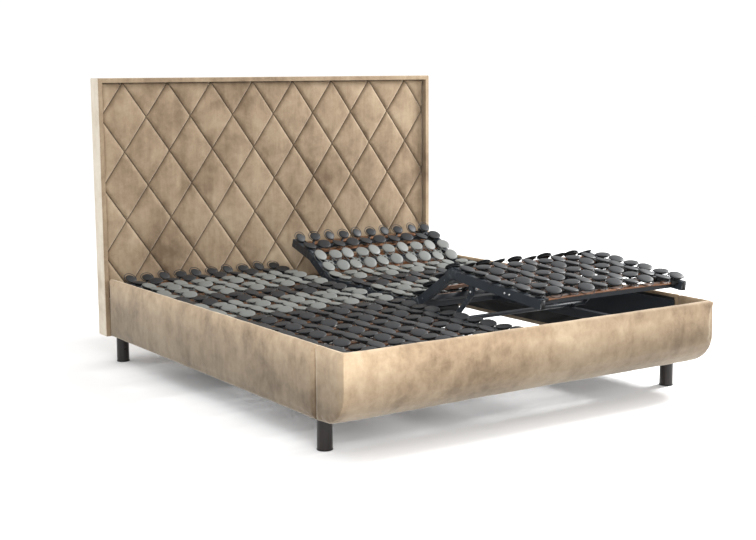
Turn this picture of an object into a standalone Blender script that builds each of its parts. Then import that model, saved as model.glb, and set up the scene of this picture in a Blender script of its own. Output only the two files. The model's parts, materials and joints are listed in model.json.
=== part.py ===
"""Upholstered double bed with two adjustable plate-and-slat bases.

World frame in metres: +X across the bed, +Y toward the headboard, +Z up, the
floor at Z = 0 and the origin under the middle of the bed.  Lengths along the
bed are given as U, measured from the outer face of the footboard.
"""
import math

import bmesh
import bpy
from mathutils import Matrix, Vector

# --- overall -----------------------------------------------------------------
BED_WIDTH = 1.860            # outside the two side rails
BED_LENGTH = 2.067           # footboard face to the front of the headboard
RAIL_TOP = 0.398
RAIL_BOTTOM = 0.122
RAIL_THICK = 0.0225
TOUCH = 0.0003               # gap left between pieces that touch
COVER_EDGE = 0.004           # rounding of the covered boards

# --- headboard ---------------------------------------------------------------
HEAD_WIDTH = 1.900
HEAD_TOP = 1.341
HEAD_DEPTH = 0.091
HEAD_BORDER = 0.022
HEAD_RECESS = 0.055
PANEL_THICK = 0.030
PANEL_FOOT = 0.300           # height of the lower edge of the recess
PANEL_ROUND = 0.011

# --- footboard ---------------------------------------------------------------
FOOT_RETURN = 0.190          # how far its cheeks run along the rails
FOOT_ROUND = 0.132           # roll of the lower front edge
FOOT_STEPS = 8

# --- legs and supports -------------------------------------------------------
LEG_RADIUS = 0.029
LEG_INSET = 0.0545           # leg centre inside the rail's outer face
FRONT_LEG_U = 0.215
REAR_LEG_U = 2.050
LEG_SIDES = 20
BLOCK_HEIGHT = 0.050
BLOCK_LENGTH = 0.062
BLOCK_WIDTH = 0.062
CENTRE_LEG_RADIUS = 0.020
CENTRE_LEG_US = (0.72, 1.42)
CENTRE_BEAM_HALF = 0.040
CENTRE_BEAM_DEPTH = 0.060
BEAM_CLEAR = 0.002           # to the facets of the rolled footboard wall
LEDGE_THICK = 0.0117
LEDGE_SHELF = 0.030
LEDGE_SHELF_THICK = 0.012
LEDGE_TOP = 0.372
LEDGE_START = 0.205
LEDGE_END = 1.990
SEAT_HEIGHT = 0.247          # top of the shelves the bases stand on

# --- one adjustable base -----------------------------------------------------
BASE_OFFSET = 0.456          # its middle from the middle of the bed
ROW_PITCH = 0.1815
FIRST_ROW_U = 0.050          # foot end of the plate field
FRAME_WIDTH = 0.810          # outside the moving side tubes
TUBE_WIDTH = 0.025
TUBE_HEIGHT = 0.040
TUBE_UNDERSIDE = 0.312
TUBE_TOP = TUBE_UNDERSIDE + TUBE_HEIGHT   # also the height of every section hinge
HINGE_GAP = 0.024            # tube end to hinge axis
LUG_RADIUS = 0.0095
LUG_GAP = 0.0005
TIE_WIDTH = 0.030
TIE_HEIGHT = 0.022
TIE_GAP = 0.01375             # half the gap between the two ties of one row
TIE_INSET = ROW_PITCH / 2 - TIE_WIDTH / 2 - TIE_GAP
UNDER_TUBE = 0.030
UNDER_HEIGHT = 0.040
UNDER_HALF = 0.300
UNDER_START = 0.200
UNDER_PAST_ROW = 0.090        # beyond the foot edge of the last row
CROSS_HALF = 0.4365
CROSS_WIDTH = 0.040
CROSS_DROP = 0.002
CROSS_FRONT_U = 0.300
CROSS_BEFORE_BACK = 0.0585     # to the back hinge
CROSS_PAST_BACK = 0.1995
CROSS_PAST_NECK = 0.035

# --- slats and plates --------------------------------------------------------
SLAT_WIDTH = 0.052
SLAT_THICK = 0.008
HOLDER_WIDTH = 0.030
HOLDER_HEIGHT = 0.014
HOLDER_SIDE_GAP = 0.0005
HOLDER_END = 0.027
SLAT_LIFT = 0.002
PLATE_PITCH = 0.0847
PLATE_RADIUS = 0.0360
PLATE_THICK = 0.008
PLATE_RISE = 0.0185            # over the tubes
PLATE_TOP = TUBE_TOP + PLATE_RISE
PLATES_ACROSS = 10
CARRIER_WIDTH = 0.030
CARRIER_HALF = 0.335
LINK_X = 0.175
LINK_WIDTH = 0.020
LINK_DROP = 0.006

# --- leg-section linkage -----------------------------------------------------
STRUT_ALONG = 0.1365         # upper pivot from the knee, along the calf tube
STRUT_DROP = 0.028           # upper pivot below the underside of the tubes
STRUT_BELOW = TUBE_HEIGHT + STRUT_DROP
STRUT_FOOT_PAST_KNEE = 0.066
STRUT_FOOT_Z = 0.2995
STRUT_WIDTH = 0.018
STRUT_THICK = 0.012
STRUT_PIN = 0.004
STRUT_SLOT = 0.0055          # half width of the slot round the pin
STRUT_TRAVEL = 0.010         # half length of the slot beyond its rounds
SHAFT_RADIUS = 0.010
BRACKET_WIDTH = 0.026
BRACKET_THICK = 0.013
CRADLE = 0.012

# --- drive unit --------------------------------------------------------------
DRIVE_LENGTH = 0.300
DRIVE_WIDTH = 0.150
DRIVE_HEIGHT = 0.075
DRIVE_ROUND = 0.012
DRIVE_ROD = 0.012
DRIVE_REACH = 0.150

# --- section plan: rows counted from the foot end, hinges as lengths U --------
KNEE_PAST_ROW = 0.0395        # beyond the third row
KNEE_U = FIRST_ROW_U + 3 * ROW_PITCH + KNEE_PAST_ROW
STRUT_FOOT_U = KNEE_U + STRUT_FOOT_PAST_KNEE
THIGH_U = FIRST_ROW_U + 5 * ROW_PITCH
BACK_U = FIRST_ROW_U + 7 * ROW_PITCH
SHOULDER_U = FIRST_ROW_U + 9 * ROW_PITCH
NECK_U = FIRST_ROW_U + 10 * ROW_PITCH
HEAD_END_U = FIRST_ROW_U + 11 * ROW_PITCH
UNDER_END = NECK_U + UNDER_PAST_ROW
CROSS_US = (CROSS_FRONT_U, BACK_U - CROSS_BEFORE_BACK,
            BACK_U + CROSS_PAST_BACK, NECK_U + CROSS_PAST_NECK)
ROWS = {"calf": (0, 3), "thigh": (3, 5), "seat": (5, 7),
        "back": (7, 9), "shoulder": (9, 10), "neck": (10, 11)}
SPANS = {"calf": (FIRST_ROW_U, KNEE_U), "thigh": (KNEE_U, THIGH_U),
         "seat": (THIGH_U, BACK_U), "back": (BACK_U, SHOULDER_U),
         "shoulder": (SHOULDER_U, NECK_U), "neck": (NECK_U, HEAD_END_U)}

# Rest angles in degrees, each relative to the section it hangs on; a
# positive turn lifts the section.
THIGH_TO_CALF = 36.9 / 32.0
THIGH_TO_STRUT = 48.75 / 32.0
POSE = {
    "left": {"back": 2.0, "shoulder": 0.0, "neck": 0.0, "thigh": 0.0},
    "right": {"back": 3.0, "shoulder": 29.0, "neck": -15.0, "thigh": 32.0},
}

VELVET = (0.46, 0.37, 0.26)
VELVET_DARK = (0.40, 0.32, 0.23)
BROWN_LEG = (0.030, 0.020, 0.016)
STEEL = (0.030, 0.034, 0.040)
TIMBER = (0.30, 0.12, 0.05)
PLASTIC = (0.045, 0.048, 0.052)
PALE_PLASTIC = (0.34, 0.35, 0.34)
PINE = (0.55, 0.40, 0.24)

MID_U = (BED_LENGTH + HEAD_DEPTH) / 2
HALF = BED_WIDTH / 2
INNER = HALF - RAIL_THICK


def y_of(u):
    return u - MID_U


# --- scene and small builders ------------------------------------------------
def start_scene():
    for item in list(bpy.data.objects):
        bpy.data.objects.remove(item, do_unlink=True)
    parts = bpy.data.collections.new("adjustable_bed")
    bpy.context.scene.collection.children.link(parts)
    return parts


PARTS = start_scene()


def paint(item, name, colour, roughness):
    look = bpy.data.materials.new(name)
    look.use_nodes = True
    shader = look.node_tree.nodes["Principled BSDF"]
    shader.inputs["Base Color"].default_value = (*colour, 1.0)
    shader.inputs["Roughness"].default_value = roughness
    item.data.materials.clear()
    item.data.materials.append(look)


def add_box(bm, x, u, z):
    """A box from (low, high) pairs across, along and up."""
    size = [pair[1] - pair[0] for pair in (x, u, z)]
    mid = Vector(((x[0] + x[1]) / 2, y_of((u[0] + u[1]) / 2), (z[0] + z[1]) / 2))
    place = Matrix.Translation(mid) @ Matrix.Diagonal((*size, 1.0))
    return bmesh.ops.create_cube(bm, size=1.0, matrix=place)["verts"]


def add_rod(bm, radius, x, u, z, sides=16):
    """A rod lying across the bed between the two x values."""
    mid = Vector(((x[0] + x[1]) / 2, y_of(u), z))
    place = Matrix.Translation(mid) @ Matrix.Rotation(math.pi / 2, 4, "Y")
    bmesh.ops.create_cone(bm, cap_ends=True, segments=sides, radius1=radius,
                          radius2=radius, depth=x[1] - x[0], matrix=place)


def add_post(bm, radius, x, u, z, sides):
    """An upright rod between the two z values."""
    mid = Vector((x, y_of(u), (z[0] + z[1]) / 2))
    bmesh.ops.create_cone(bm, cap_ends=True, segments=sides, radius1=radius,
                          radius2=radius, depth=z[1] - z[0],
                          matrix=Matrix.Translation(mid))


def add_bar(bm, radius, x, u, z, sides=12):
    """A rod along the bed between the two u values."""
    mid = Vector((x, y_of((u[0] + u[1]) / 2), z))
    place = Matrix.Translation(mid) @ Matrix.Rotation(math.pi / 2, 4, "X")
    bmesh.ops.create_cone(bm, cap_ends=True, segments=sides, radius1=radius,
                          radius2=radius, depth=u[1] - u[0], matrix=place)


def add_prism_x(bm, outline, x):
    """An outline of (u, z) points drawn out across the bed."""
    ring = [bm.verts.new((x[0], y_of(u), z)) for u, z in outline]
    face = bm.faces.new(ring)
    moved = bmesh.ops.extrude_face_region(bm, geom=[face])["geom"]
    verts = [v for v in moved if isinstance(v, bmesh.types.BMVert)]
    bmesh.ops.translate(bm, verts=verts, vec=(x[1] - x[0], 0, 0))


def add_prism_z(bm, outline, z):
    """An outline of (x, u) points drawn upward."""
    ring = [bm.verts.new((x, y_of(u), z[0])) for x, u in outline]
    face = bm.faces.new(ring)
    moved = bmesh.ops.extrude_face_region(bm, geom=[face])["geom"]
    verts = [v for v in moved if isinstance(v, bmesh.types.BMVert)]
    bmesh.ops.translate(bm, verts=verts, vec=(0, 0, z[1] - z[0]))


def solid(build, name="blank"):
    """Run build(bm) and hand back its mesh with outward faces."""
    bm = bmesh.new()
    build(bm)
    bmesh.ops.recalc_face_normals(bm, faces=bm.faces)
    mesh = bpy.data.meshes.new(name)
    bm.to_mesh(mesh)
    bm.free()
    return mesh


def combine(mesh, tool, operation):
    """Join or cut one mesh with another by an exact boolean."""
    body = bpy.data.objects.new("body", mesh)
    other = bpy.data.objects.new("tool", tool)
    for item in (body, other):
        PARTS.objects.link(item)
    step = body.modifiers.new("combine", "BOOLEAN")
    step.operation = operation
    step.solver = "EXACT"
    step.object = other
    graph = bpy.context.evaluated_depsgraph_get()
    result = bpy.data.meshes.new_from_object(body.evaluated_get(graph))
    for item in (body, other):
        bpy.data.objects.remove(item, do_unlink=True)
    return result


def join(first, *others):
    for other in others:
        first = combine(first, other, "UNION")
    return first


def finish(name, mesh, colour, roughness, hinge=None, turn=None):
    """Tidy a mesh, turn it to its rest pose and put its origin on a hinge."""
    bm = bmesh.new()
    bm.from_mesh(mesh)
    bmesh.ops.remove_doubles(bm, verts=bm.verts, dist=0.00002)
    bmesh.ops.dissolve_limit(bm, angle_limit=0.001, verts=bm.verts, edges=bm.edges)
    bmesh.ops.triangulate(bm, faces=bm.faces)
    if turn is not None:
        bmesh.ops.transform(bm, matrix=turn, verts=bm.verts)
    bmesh.ops.recalc_face_normals(bm, faces=bm.faces)
    corner = [min(v.co[i] for v in bm.verts) for i in range(3)]
    origin = Vector(hinge) if hinge is not None else Vector(corner)
    bmesh.ops.translate(bm, verts=bm.verts, vec=-origin)
    mesh = bpy.data.meshes.new(name)
    bm.to_mesh(mesh)
    bm.free()
    item = bpy.data.objects.new(name, mesh)
    item.location = origin
    PARTS.objects.link(item)
    paint(item, name + "_finish", colour, roughness)
    return item


def rounded(mesh, radius, choose, segments=2):
    """Round the edges of a mesh that choose(a, b) accepts."""
    bm = bmesh.new()
    bm.from_mesh(mesh)
    edges = [e for e in bm.edges if choose(e.verts[0].co, e.verts[1].co)]
    bmesh.ops.bevel(bm, geom=edges, offset=radius, segments=segments,
                    profile=0.5, affect="EDGES")
    result = bpy.data.meshes.new("rounded")
    bm.to_mesh(result)
    bm.free()
    return result


# --- the upholstered surround ------------------------------------------------
def build_headboard():
    front, back = BED_LENGTH, BED_LENGTH + HEAD_DEPTH
    half = HEAD_WIDTH / 2
    block = solid(lambda bm: add_box(bm, (-half, half), (front, back),
                                     (RAIL_BOTTOM, HEAD_TOP)))
    block = rounded(block, COVER_EDGE, lambda a, b: True)
    inside = half - HEAD_BORDER
    hollow = solid(lambda bm: add_box(
        bm, (-inside, inside), (front - HEAD_DEPTH, front + HEAD_RECESS),
        (PANEL_FOOT, HEAD_TOP - HEAD_BORDER)))
    finish("headboard_surround", combine(block, hollow, "DIFFERENCE"), VELVET, 0.8)
    panel_back = front + HEAD_RECESS - TOUCH
    panel = solid(lambda bm: add_box(
        bm, (-inside + TOUCH, inside - TOUCH), (panel_back - PANEL_THICK, panel_back),
        (PANEL_FOOT + TOUCH, HEAD_TOP - HEAD_BORDER - TOUCH)))
    face = y_of(panel_back - PANEL_THICK)
    panel = rounded(panel, PANEL_ROUND,
                    lambda a, b: abs(a.y - face) < TOUCH and abs(b.y - face) < TOUCH, 3)
    finish("headboard_panel", panel, VELVET, 0.8)


def build_rails():
    for side, name in ((-1, "left_side_rail"), (1, "right_side_rail")):
        x = sorted((side * INNER, side * HALF))
        rail = solid(lambda bm: add_box(bm, x, (FOOT_RETURN + TOUCH, BED_LENGTH - TOUCH),
                                        (RAIL_BOTTOM, RAIL_TOP)))
        rail = rounded(rail, COVER_EDGE, lambda a, b: abs(a.y - b.y) > BED_LENGTH / 2)
        finish(name, rail, VELVET_DARK, 0.8)


def foot_outline(inset, top, end):
    """Side view of the footboard, moved inward by inset."""
    radius = FOOT_ROUND - inset
    low = RAIL_BOTTOM + inset
    points = [(inset, top)]
    for step in range(FOOT_STEPS + 1):
        angle = math.radians(90 * step / FOOT_STEPS)
        points.append((FOOT_ROUND - radius * math.cos(angle),
                       RAIL_BOTTOM + FOOT_ROUND - radius * math.sin(angle)))
    return points + [(end, low), (end, top)]


def build_footboard():
    body = solid(lambda bm: add_prism_x(
        bm, foot_outline(0.0, RAIL_TOP, FOOT_RETURN), (-HALF, HALF)))
    hollow = solid(lambda bm: add_prism_x(
        bm, foot_outline(RAIL_THICK, 2 * RAIL_TOP, 2 * FOOT_RETURN), (-INNER, INNER)))
    body = combine(body, hollow, "DIFFERENCE")
    finish("footboard", body, VELVET, 0.8)


def foot_inner_u(z):
    """Where the inside of the rolled footboard wall lies at a height."""
    radius = FOOT_ROUND - RAIL_THICK
    drop = max(0.0, RAIL_BOTTOM + FOOT_ROUND - z)
    return FOOT_ROUND - math.sqrt(radius * radius - drop * drop)


def build_supports():
    leg_x = HALF - LEG_INSET
    for end, leg_u in (("front", FRONT_LEG_U), ("rear", REAR_LEG_U)):
        low = FOOT_RETURN + TOUCH if end == "front" else BED_LENGTH - TOUCH - BLOCK_LENGTH
        for side, hand in ((-1, "left"), (1, "right")):
            leg = solid(lambda bm: add_post(bm, LEG_RADIUS, side * leg_x, leg_u,
                                            (0.0, RAIL_BOTTOM - TOUCH), LEG_SIDES))
            finish(f"{end}_{hand}_leg", leg, BROWN_LEG, 0.4)
            x = sorted((side * (INNER - TOUCH), side * (INNER - TOUCH - BLOCK_WIDTH)))
            block = solid(lambda bm: add_box(bm, x, (low, low + BLOCK_LENGTH),
                                             (RAIL_BOTTOM, RAIL_BOTTOM + BLOCK_HEIGHT)))
            finish(f"{end}_{hand}_corner_block", block, PINE, 0.6)
    for side, hand in ((-1, "left"), (1, "right")):
        wall = INNER - TOUCH
        outline = [(wall, SEAT_HEIGHT - LEDGE_SHELF_THICK), (wall, LEDGE_TOP),
                   (wall - LEDGE_THICK, LEDGE_TOP), (wall - LEDGE_THICK, SEAT_HEIGHT),
                   (wall - LEDGE_THICK - LEDGE_SHELF, SEAT_HEIGHT),
                   (wall - LEDGE_THICK - LEDGE_SHELF, SEAT_HEIGHT - LEDGE_SHELF_THICK)]

        def ledge(bm):
            ring = [bm.verts.new((side * x, y_of(LEDGE_START), z)) for x, z in outline]
            moved = bmesh.ops.extrude_face_region(bm, geom=[bm.faces.new(ring)])["geom"]
            verts = [v for v in moved if isinstance(v, bmesh.types.BMVert)]
            bmesh.ops.translate(bm, verts=verts, vec=(0, LEDGE_END - LEDGE_START, 0))
        finish(f"{hand}_side_ledge", solid(ledge), STEEL, 0.5)
    low = SEAT_HEIGHT - CENTRE_BEAM_DEPTH
    beam = solid(lambda bm: add_box(bm, (-CENTRE_BEAM_HALF, CENTRE_BEAM_HALF),
                                    (foot_inner_u(low) + BEAM_CLEAR, BED_LENGTH - TOUCH),
                                    (low, SEAT_HEIGHT)))
    finish("centre_beam", beam, PINE, 0.6)
    for number, leg_u in enumerate(CENTRE_LEG_US, 1):
        leg = solid(lambda bm: add_post(bm, CENTRE_LEG_RADIUS, 0.0, leg_u,
                                        (0.0, low - TOUCH), LEG_SIDES))
        finish(f"centre_leg_{number}", leg, STEEL, 0.5)


# --- one adjustable base -----------------------------------------------------
TUBE_LOW = TUBE_TOP - TUBE_HEIGHT
TUBE_OUT = FRAME_WIDTH / 2
TUBE_IN = TUBE_OUT - TUBE_WIDTH
UNDER_LOW = SEAT_HEIGHT + TOUCH
UNDER_TOP = UNDER_LOW + UNDER_HEIGHT
SLAT_LOW = TUBE_TOP - HOLDER_HEIGHT + SLAT_LIFT
HOLDER_LOW = TUBE_TOP - HOLDER_HEIGHT
SLAT_TOP = SLAT_LOW + SLAT_THICK


def across(centre, low, high):
    """The same stretch on both sides of a base's middle."""
    return [sorted((centre + side * low, centre + side * high)) for side in (-1, 1)]


def tube_layers(centre, span, foot_lug, head_lug):
    """Side tubes and hinge lugs of one section; lugs share the tube width."""
    low_u, high_u = span
    tube_u = (low_u + (HINGE_GAP if foot_lug else 0.0),
              high_u - (HINGE_GAP if head_lug else 0.0))
    middle = (TUBE_IN + TUBE_OUT) / 2
    stretch = {"outer": (middle + LUG_GAP / 2, TUBE_OUT - LUG_GAP),
               "inner": (TUBE_IN + LUG_GAP, middle - LUG_GAP / 2)}
    lug_low, lug_high = TUBE_TOP - LUG_RADIUS, TUBE_TOP + LUG_RADIUS

    def tubes(bm):
        for x in across(centre, TUBE_IN, TUBE_OUT):
            add_box(bm, x, tube_u, (TUBE_LOW, TUBE_TOP))

    def arms(bm):
        for present, key, axis, root in (
                (foot_lug, "outer", low_u, tube_u[0] + HINGE_GAP),
                (head_lug, "inner", high_u, tube_u[1] - HINGE_GAP)):
            if not present:
                continue
            for x in across(centre, *stretch[key]):
                bar = sorted((axis, root))
                outline = [(bar[0], lug_low), (bar[1], lug_low),
                           (bar[1], lug_high), (bar[0], lug_high)]
                if axis == bar[0]:
                    outline = outline[1:3] + lug_round(axis, 1)
                else:
                    outline = [outline[3], outline[0]] + lug_round(axis, -1)
                add_prism_x(bm, outline, x)
    return [solid(tubes)] + ([solid(arms)] if foot_lug or head_lug else [])


def lug_round(axis, side):
    """Half circle closing a lug round its hinge axis, away from the tube."""
    points = []
    for step in range(7):
        angle = math.radians(90 + 30 * step) if side > 0 else math.radians(-90 + 30 * step)
        points.append((axis + LUG_RADIUS * math.cos(angle),
                       TUBE_TOP + LUG_RADIUS * math.sin(angle)))
    return points


def ties(centre, places):
    top = HOLDER_LOW - TOUCH

    def build(bm):
        for place in places:
            add_box(bm, (centre - TUBE_IN - TUBE_WIDTH / 2, centre + TUBE_IN + TUBE_WIDTH / 2),
                    (place - TIE_WIDTH / 2, place + TIE_WIDTH / 2), (top - TIE_HEIGHT, top))
    return solid(build)


def strut_bracket(centre):
    """Plates under the calf tubes that carry the strut pins."""
    pivot_u = KNEE_U - STRUT_ALONG
    pivot_z = TUBE_TOP - STRUT_BELOW
    x_low = TUBE_IN + TUBE_WIDTH / 4

    def plates(bm):
        for x in across(centre, x_low, x_low + BRACKET_THICK):
            add_box(bm, x, (pivot_u - BRACKET_WIDTH / 2, pivot_u + BRACKET_WIDTH / 2),
                    (pivot_z - BRACKET_WIDTH / 2, TUBE_LOW + TUBE_HEIGHT / 3))

    def pins(bm):
        for x in across(centre, x_low - STRUT_THICK - 2 * LUG_GAP, x_low + BRACKET_THICK / 2):
            add_rod(bm, STRUT_PIN, x, pivot_u, pivot_z, 12)
    return [solid(plates), solid(pins)]


def section_frame(hand, centre, key, turn, hinge):
    low_u, high_u = SPANS[key]
    foot_lug = key in ("thigh", "back", "shoulder", "neck")
    head_lug = key in ("calf", "thigh", "back", "shoulder")
    layers = tube_layers(centre, (low_u, high_u), foot_lug, head_lug)
    places = [low_u + TIE_INSET, high_u - TIE_INSET]
    layers.append(ties(centre, places))
    if key == "calf":
        layers += strut_bracket(centre)
    finish(f"{hand}_{key}_frame", join(*layers), STEEL, 0.45, hinge, turn)


def base_frame(hand, centre):
    """The part that stands on the ledges, with the fixed seat tubes."""
    layers = tube_layers(centre, SPANS["seat"], True, True)

    def under(bm):
        for x in across(centre, UNDER_HALF - UNDER_TUBE / 2, UNDER_HALF + UNDER_TUBE / 2):
            add_box(bm, x, (UNDER_START, UNDER_END), (UNDER_LOW, UNDER_TOP))

    def crosses(bm):
        for place in CROSS_US:
            add_box(bm, (centre - CROSS_HALF, centre + CROSS_HALF),
                    (place - CROSS_WIDTH / 2, place + CROSS_WIDTH / 2),
                    (UNDER_LOW, UNDER_TOP - CROSS_DROP))

    def posts(bm):
        place = CROSS_US[1]
        for x in across(centre, TUBE_IN + COVER_EDGE, TUBE_OUT - COVER_EDGE):
            add_box(bm, x, (place - CROSS_WIDTH / 4, place + CROSS_WIDTH / 4),
                    (UNDER_LOW + COVER_EDGE, TUBE_LOW + COVER_EDGE))

    def cradles(bm):
        for x in across(centre, UNDER_HALF - CRADLE / 2, UNDER_HALF + CRADLE / 2):
            for side in (-1, 1):
                inner = side * (SHAFT_RADIUS + TOUCH)
                outer = side * (SHAFT_RADIUS + TOUCH + CRADLE)
                u = sorted((STRUT_FOOT_U + inner, STRUT_FOOT_U + outer))
                add_box(bm, x, u, (UNDER_TOP - COVER_EDGE, STRUT_FOOT_Z + SHAFT_RADIUS / 2))
    layers += [solid(crosses), solid(under), solid(posts), solid(cradles),
               ties(centre, [THIGH_U + TIE_INSET, BACK_U - TIE_INSET])]
    finish(f"{hand}_base_frame", join(*layers), STEEL, 0.45)


def strut(hand, centre, turn, hinge):
    """Both knee struts on one cross shaft."""
    top = (KNEE_U - STRUT_ALONG, TUBE_TOP - STRUT_BELOW)
    foot = (STRUT_FOOT_U, STRUT_FOOT_Z)
    length = math.hypot(top[0] - foot[0], top[1] - foot[1])
    ahead = ((top[0] - foot[0]) / length, (top[1] - foot[1]) / length)
    beside = (-ahead[1], ahead[0])
    x_high = TUBE_IN + TUBE_WIDTH / 4 - LUG_GAP
    arm_x = (x_high - STRUT_THICK, x_high)
    tail = STRUT_TRAVEL + STRUT_SLOT + STRUT_WIDTH / 4

    def at(along, aside):
        return (foot[0] + ahead[0] * along + beside[0] * aside,
                foot[1] + ahead[1] * along + beside[1] * aside)

    def arms(bm):
        half = STRUT_WIDTH / 2
        outline = [at(0, -half), at(length + tail, -half), at(length + tail, half), at(0, half)]
        for x in across(centre, *arm_x):
            add_prism_x(bm, outline, x)

    def slots(bm):
        outline = [at(length - STRUT_TRAVEL - STRUT_SLOT, -STRUT_SLOT),
                   at(length + STRUT_TRAVEL + STRUT_SLOT, -STRUT_SLOT),
                   at(length + STRUT_TRAVEL + STRUT_SLOT, STRUT_SLOT),
                   at(length - STRUT_TRAVEL - STRUT_SLOT, STRUT_SLOT)]
        for x in across(centre, arm_x[0] - STRUT_THICK, arm_x[1] + STRUT_THICK):
            add_prism_x(bm, outline, x)

    reach = arm_x[1] + LUG_GAP / 2
    shaft = solid(lambda bm: add_rod(bm, SHAFT_RADIUS, (centre - reach, centre + reach),
                                     foot[0], foot[1], 16))
    arms_cut = combine(solid(arms), solid(slots), "DIFFERENCE")
    finish(f"{hand}_knee_strut", join(arms_cut, shaft), STEEL, 0.45, hinge, turn)


def slat_rack(hand, centre, key, turn, hinge):
    low_row, high_row = ROWS[key]
    low_u, high_u = SPANS[key]
    inner = TUBE_IN - HOLDER_SIDE_GAP

    def slats(bm):
        for row in range(low_row, high_row):
            mid = FIRST_ROW_U + (row + 0.5) * ROW_PITCH
            add_box(bm, (centre - inner + TUBE_WIDTH / 4, centre + inner - TUBE_WIDTH / 4),
                    (mid - SLAT_WIDTH / 2, mid + SLAT_WIDTH / 2), (SLAT_LOW, SLAT_TOP))

    def holders(bm):
        for x in across(centre, inner - HOLDER_WIDTH, inner):
            add_box(bm, x, (low_u + HOLDER_END, high_u - HOLDER_END),
                    (HOLDER_LOW, HOLDER_LOW + HOLDER_HEIGHT))
    finish(f"{hand}_{key}_slats", join(solid(holders), solid(slats)), TIMBER, 0.5,
           hinge, turn)


def row_outline(centre, mid_u):
    """Scalloped outline of one row of plates, two discs deep."""
    half = PLATES_ACROSS * PLATE_PITCH / 2
    lead = ROW_PITCH / 4 - 0.0005
    reach = PLATE_RADIUS - 0.0035
    upper = []
    for index in range(PLATES_ACROSS):
        x = centre - half + (index + 0.5) * PLATE_PITCH
        for angle in (150, 90, 30):
            turn = math.radians(angle)
            upper.append((x + PLATE_RADIUS * math.cos(turn),
                          mid_u + lead + reach * math.sin(turn)))
    lower = [(x, 2 * mid_u - u) for x, u in reversed(upper)]
    return upper + lower


def plate_deck(hand, centre, key, turn, hinge):
    low_row, high_row = ROWS[key]
    low_z = PLATE_TOP - PLATE_THICK
    mids = [FIRST_ROW_U + (row + 0.5) * ROW_PITCH for row in range(low_row, high_row)]

    def rows(bm):
        for mid in mids:
            add_prism_z(bm, row_outline(centre, mid), (low_z, PLATE_TOP))

    def carriers(bm):
        for mid in mids:
            add_box(bm, (centre - CARRIER_HALF, centre + CARRIER_HALF),
                    (mid - CARRIER_WIDTH / 2, mid + CARRIER_WIDTH / 2),
                    (SLAT_TOP + TOUCH, low_z + PLATE_THICK / 4))

    def links(bm):
        for x in across(centre, LINK_X - LINK_WIDTH / 2, LINK_X + LINK_WIDTH / 2):
            add_box(bm, x, (mids[0], mids[-1]),
                    (low_z - LINK_DROP / 2, low_z + PLATE_THICK / 2))
    layers = [solid(rows), solid(carriers)]
    if len(mids) > 1:
        layers.append(solid(links))
    pale = key in ("seat", "shoulder")
    finish(f"{hand}_{key}_plates", join(*layers), PALE_PLASTIC if pale else PLASTIC,
           0.5, hinge, turn)


def drive_unit(hand, centre):
    top = UNDER_LOW - TOUCH
    mid_u = (CROSS_US[1] + CROSS_US[2]) / 2
    mid_z = top - DRIVE_HEIGHT / 2
    box = solid(lambda bm: add_box(
        bm, (centre - DRIVE_WIDTH / 2, centre + DRIVE_WIDTH / 2),
        (mid_u - DRIVE_LENGTH / 2, mid_u + DRIVE_LENGTH / 2), (top - DRIVE_HEIGHT, top)))
    box = rounded(box, DRIVE_ROUND, lambda a, b: True)

    def rods(bm):
        add_bar(bm, DRIVE_ROD, centre, (mid_u - DRIVE_LENGTH / 2 - DRIVE_REACH,
                                        mid_u + DRIVE_LENGTH / 2 + DRIVE_REACH), mid_z)
    finish(f"{hand}_drive_unit", join(box, solid(rods)), PLASTIC, 0.5)


def lift(point, degrees, toward):
    """A turn about an axis across the bed; toward is +1 for the head end."""
    place = Matrix.Translation(Vector(point))
    return place @ Matrix.Rotation(math.radians(toward * degrees), 4, "X") @ place.inverted()


def build_base(hand, side):
    centre = side * BASE_OFFSET
    pose = POSE[hand]

    def point(u, z=TUBE_TOP):
        return Vector((centre, y_of(u), z))

    back = lift(point(BACK_U), pose["back"], 1)
    shoulder = back @ lift(point(SHOULDER_U), pose["shoulder"], 1)
    neck = shoulder @ lift(point(NECK_U), pose["neck"], 1)
    thigh = lift(point(THIGH_U), pose["thigh"], -1)
    calf = thigh @ lift(point(KNEE_U), -THIGH_TO_CALF * pose["thigh"], -1)
    link = lift(point(STRUT_FOOT_U, STRUT_FOOT_Z), THIGH_TO_STRUT * pose["thigh"], -1)
    turns = {"back": (back, point(BACK_U)),
             "shoulder": (shoulder, back @ point(SHOULDER_U)),
             "neck": (neck, shoulder @ point(NECK_U)),
             "thigh": (thigh, point(THIGH_U)),
             "calf": (calf, thigh @ point(KNEE_U)),
             "seat": (None, None)}
    base_frame(hand, centre)
    for key, (turn, hinge) in turns.items():
        if key != "seat":
            section_frame(hand, centre, key, turn, hinge)
        slat_rack(hand, centre, key, turn, hinge)
        plate_deck(hand, centre, key, turn, hinge)
    strut(hand, centre, link, point(STRUT_FOOT_U, STRUT_FOOT_Z))
    drive_unit(hand, centre)
    for key, (turn, hinge) in turns.items():
        if hinge is not None:
            print(f"{hand} {key} hinge at", [round(value, 6) for value in hinge])


build_headboard()
build_rails()
build_footboard()
build_supports()
build_base("left", -1)
build_base("right", 1)
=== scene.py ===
# %% [markdown]
# # An upholstered double bed with two adjustable bases
# The steel frames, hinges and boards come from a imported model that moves.
# This lesson gives every surface its real look: quilted velvet, powder-coated
# tube, bent beech and sprung plastic plates. Nothing here changes a size.

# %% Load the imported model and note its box
import json
import math
import bpy
import bmesh
import numpy as np
from mathutils import Matrix, Vector, noise


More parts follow.
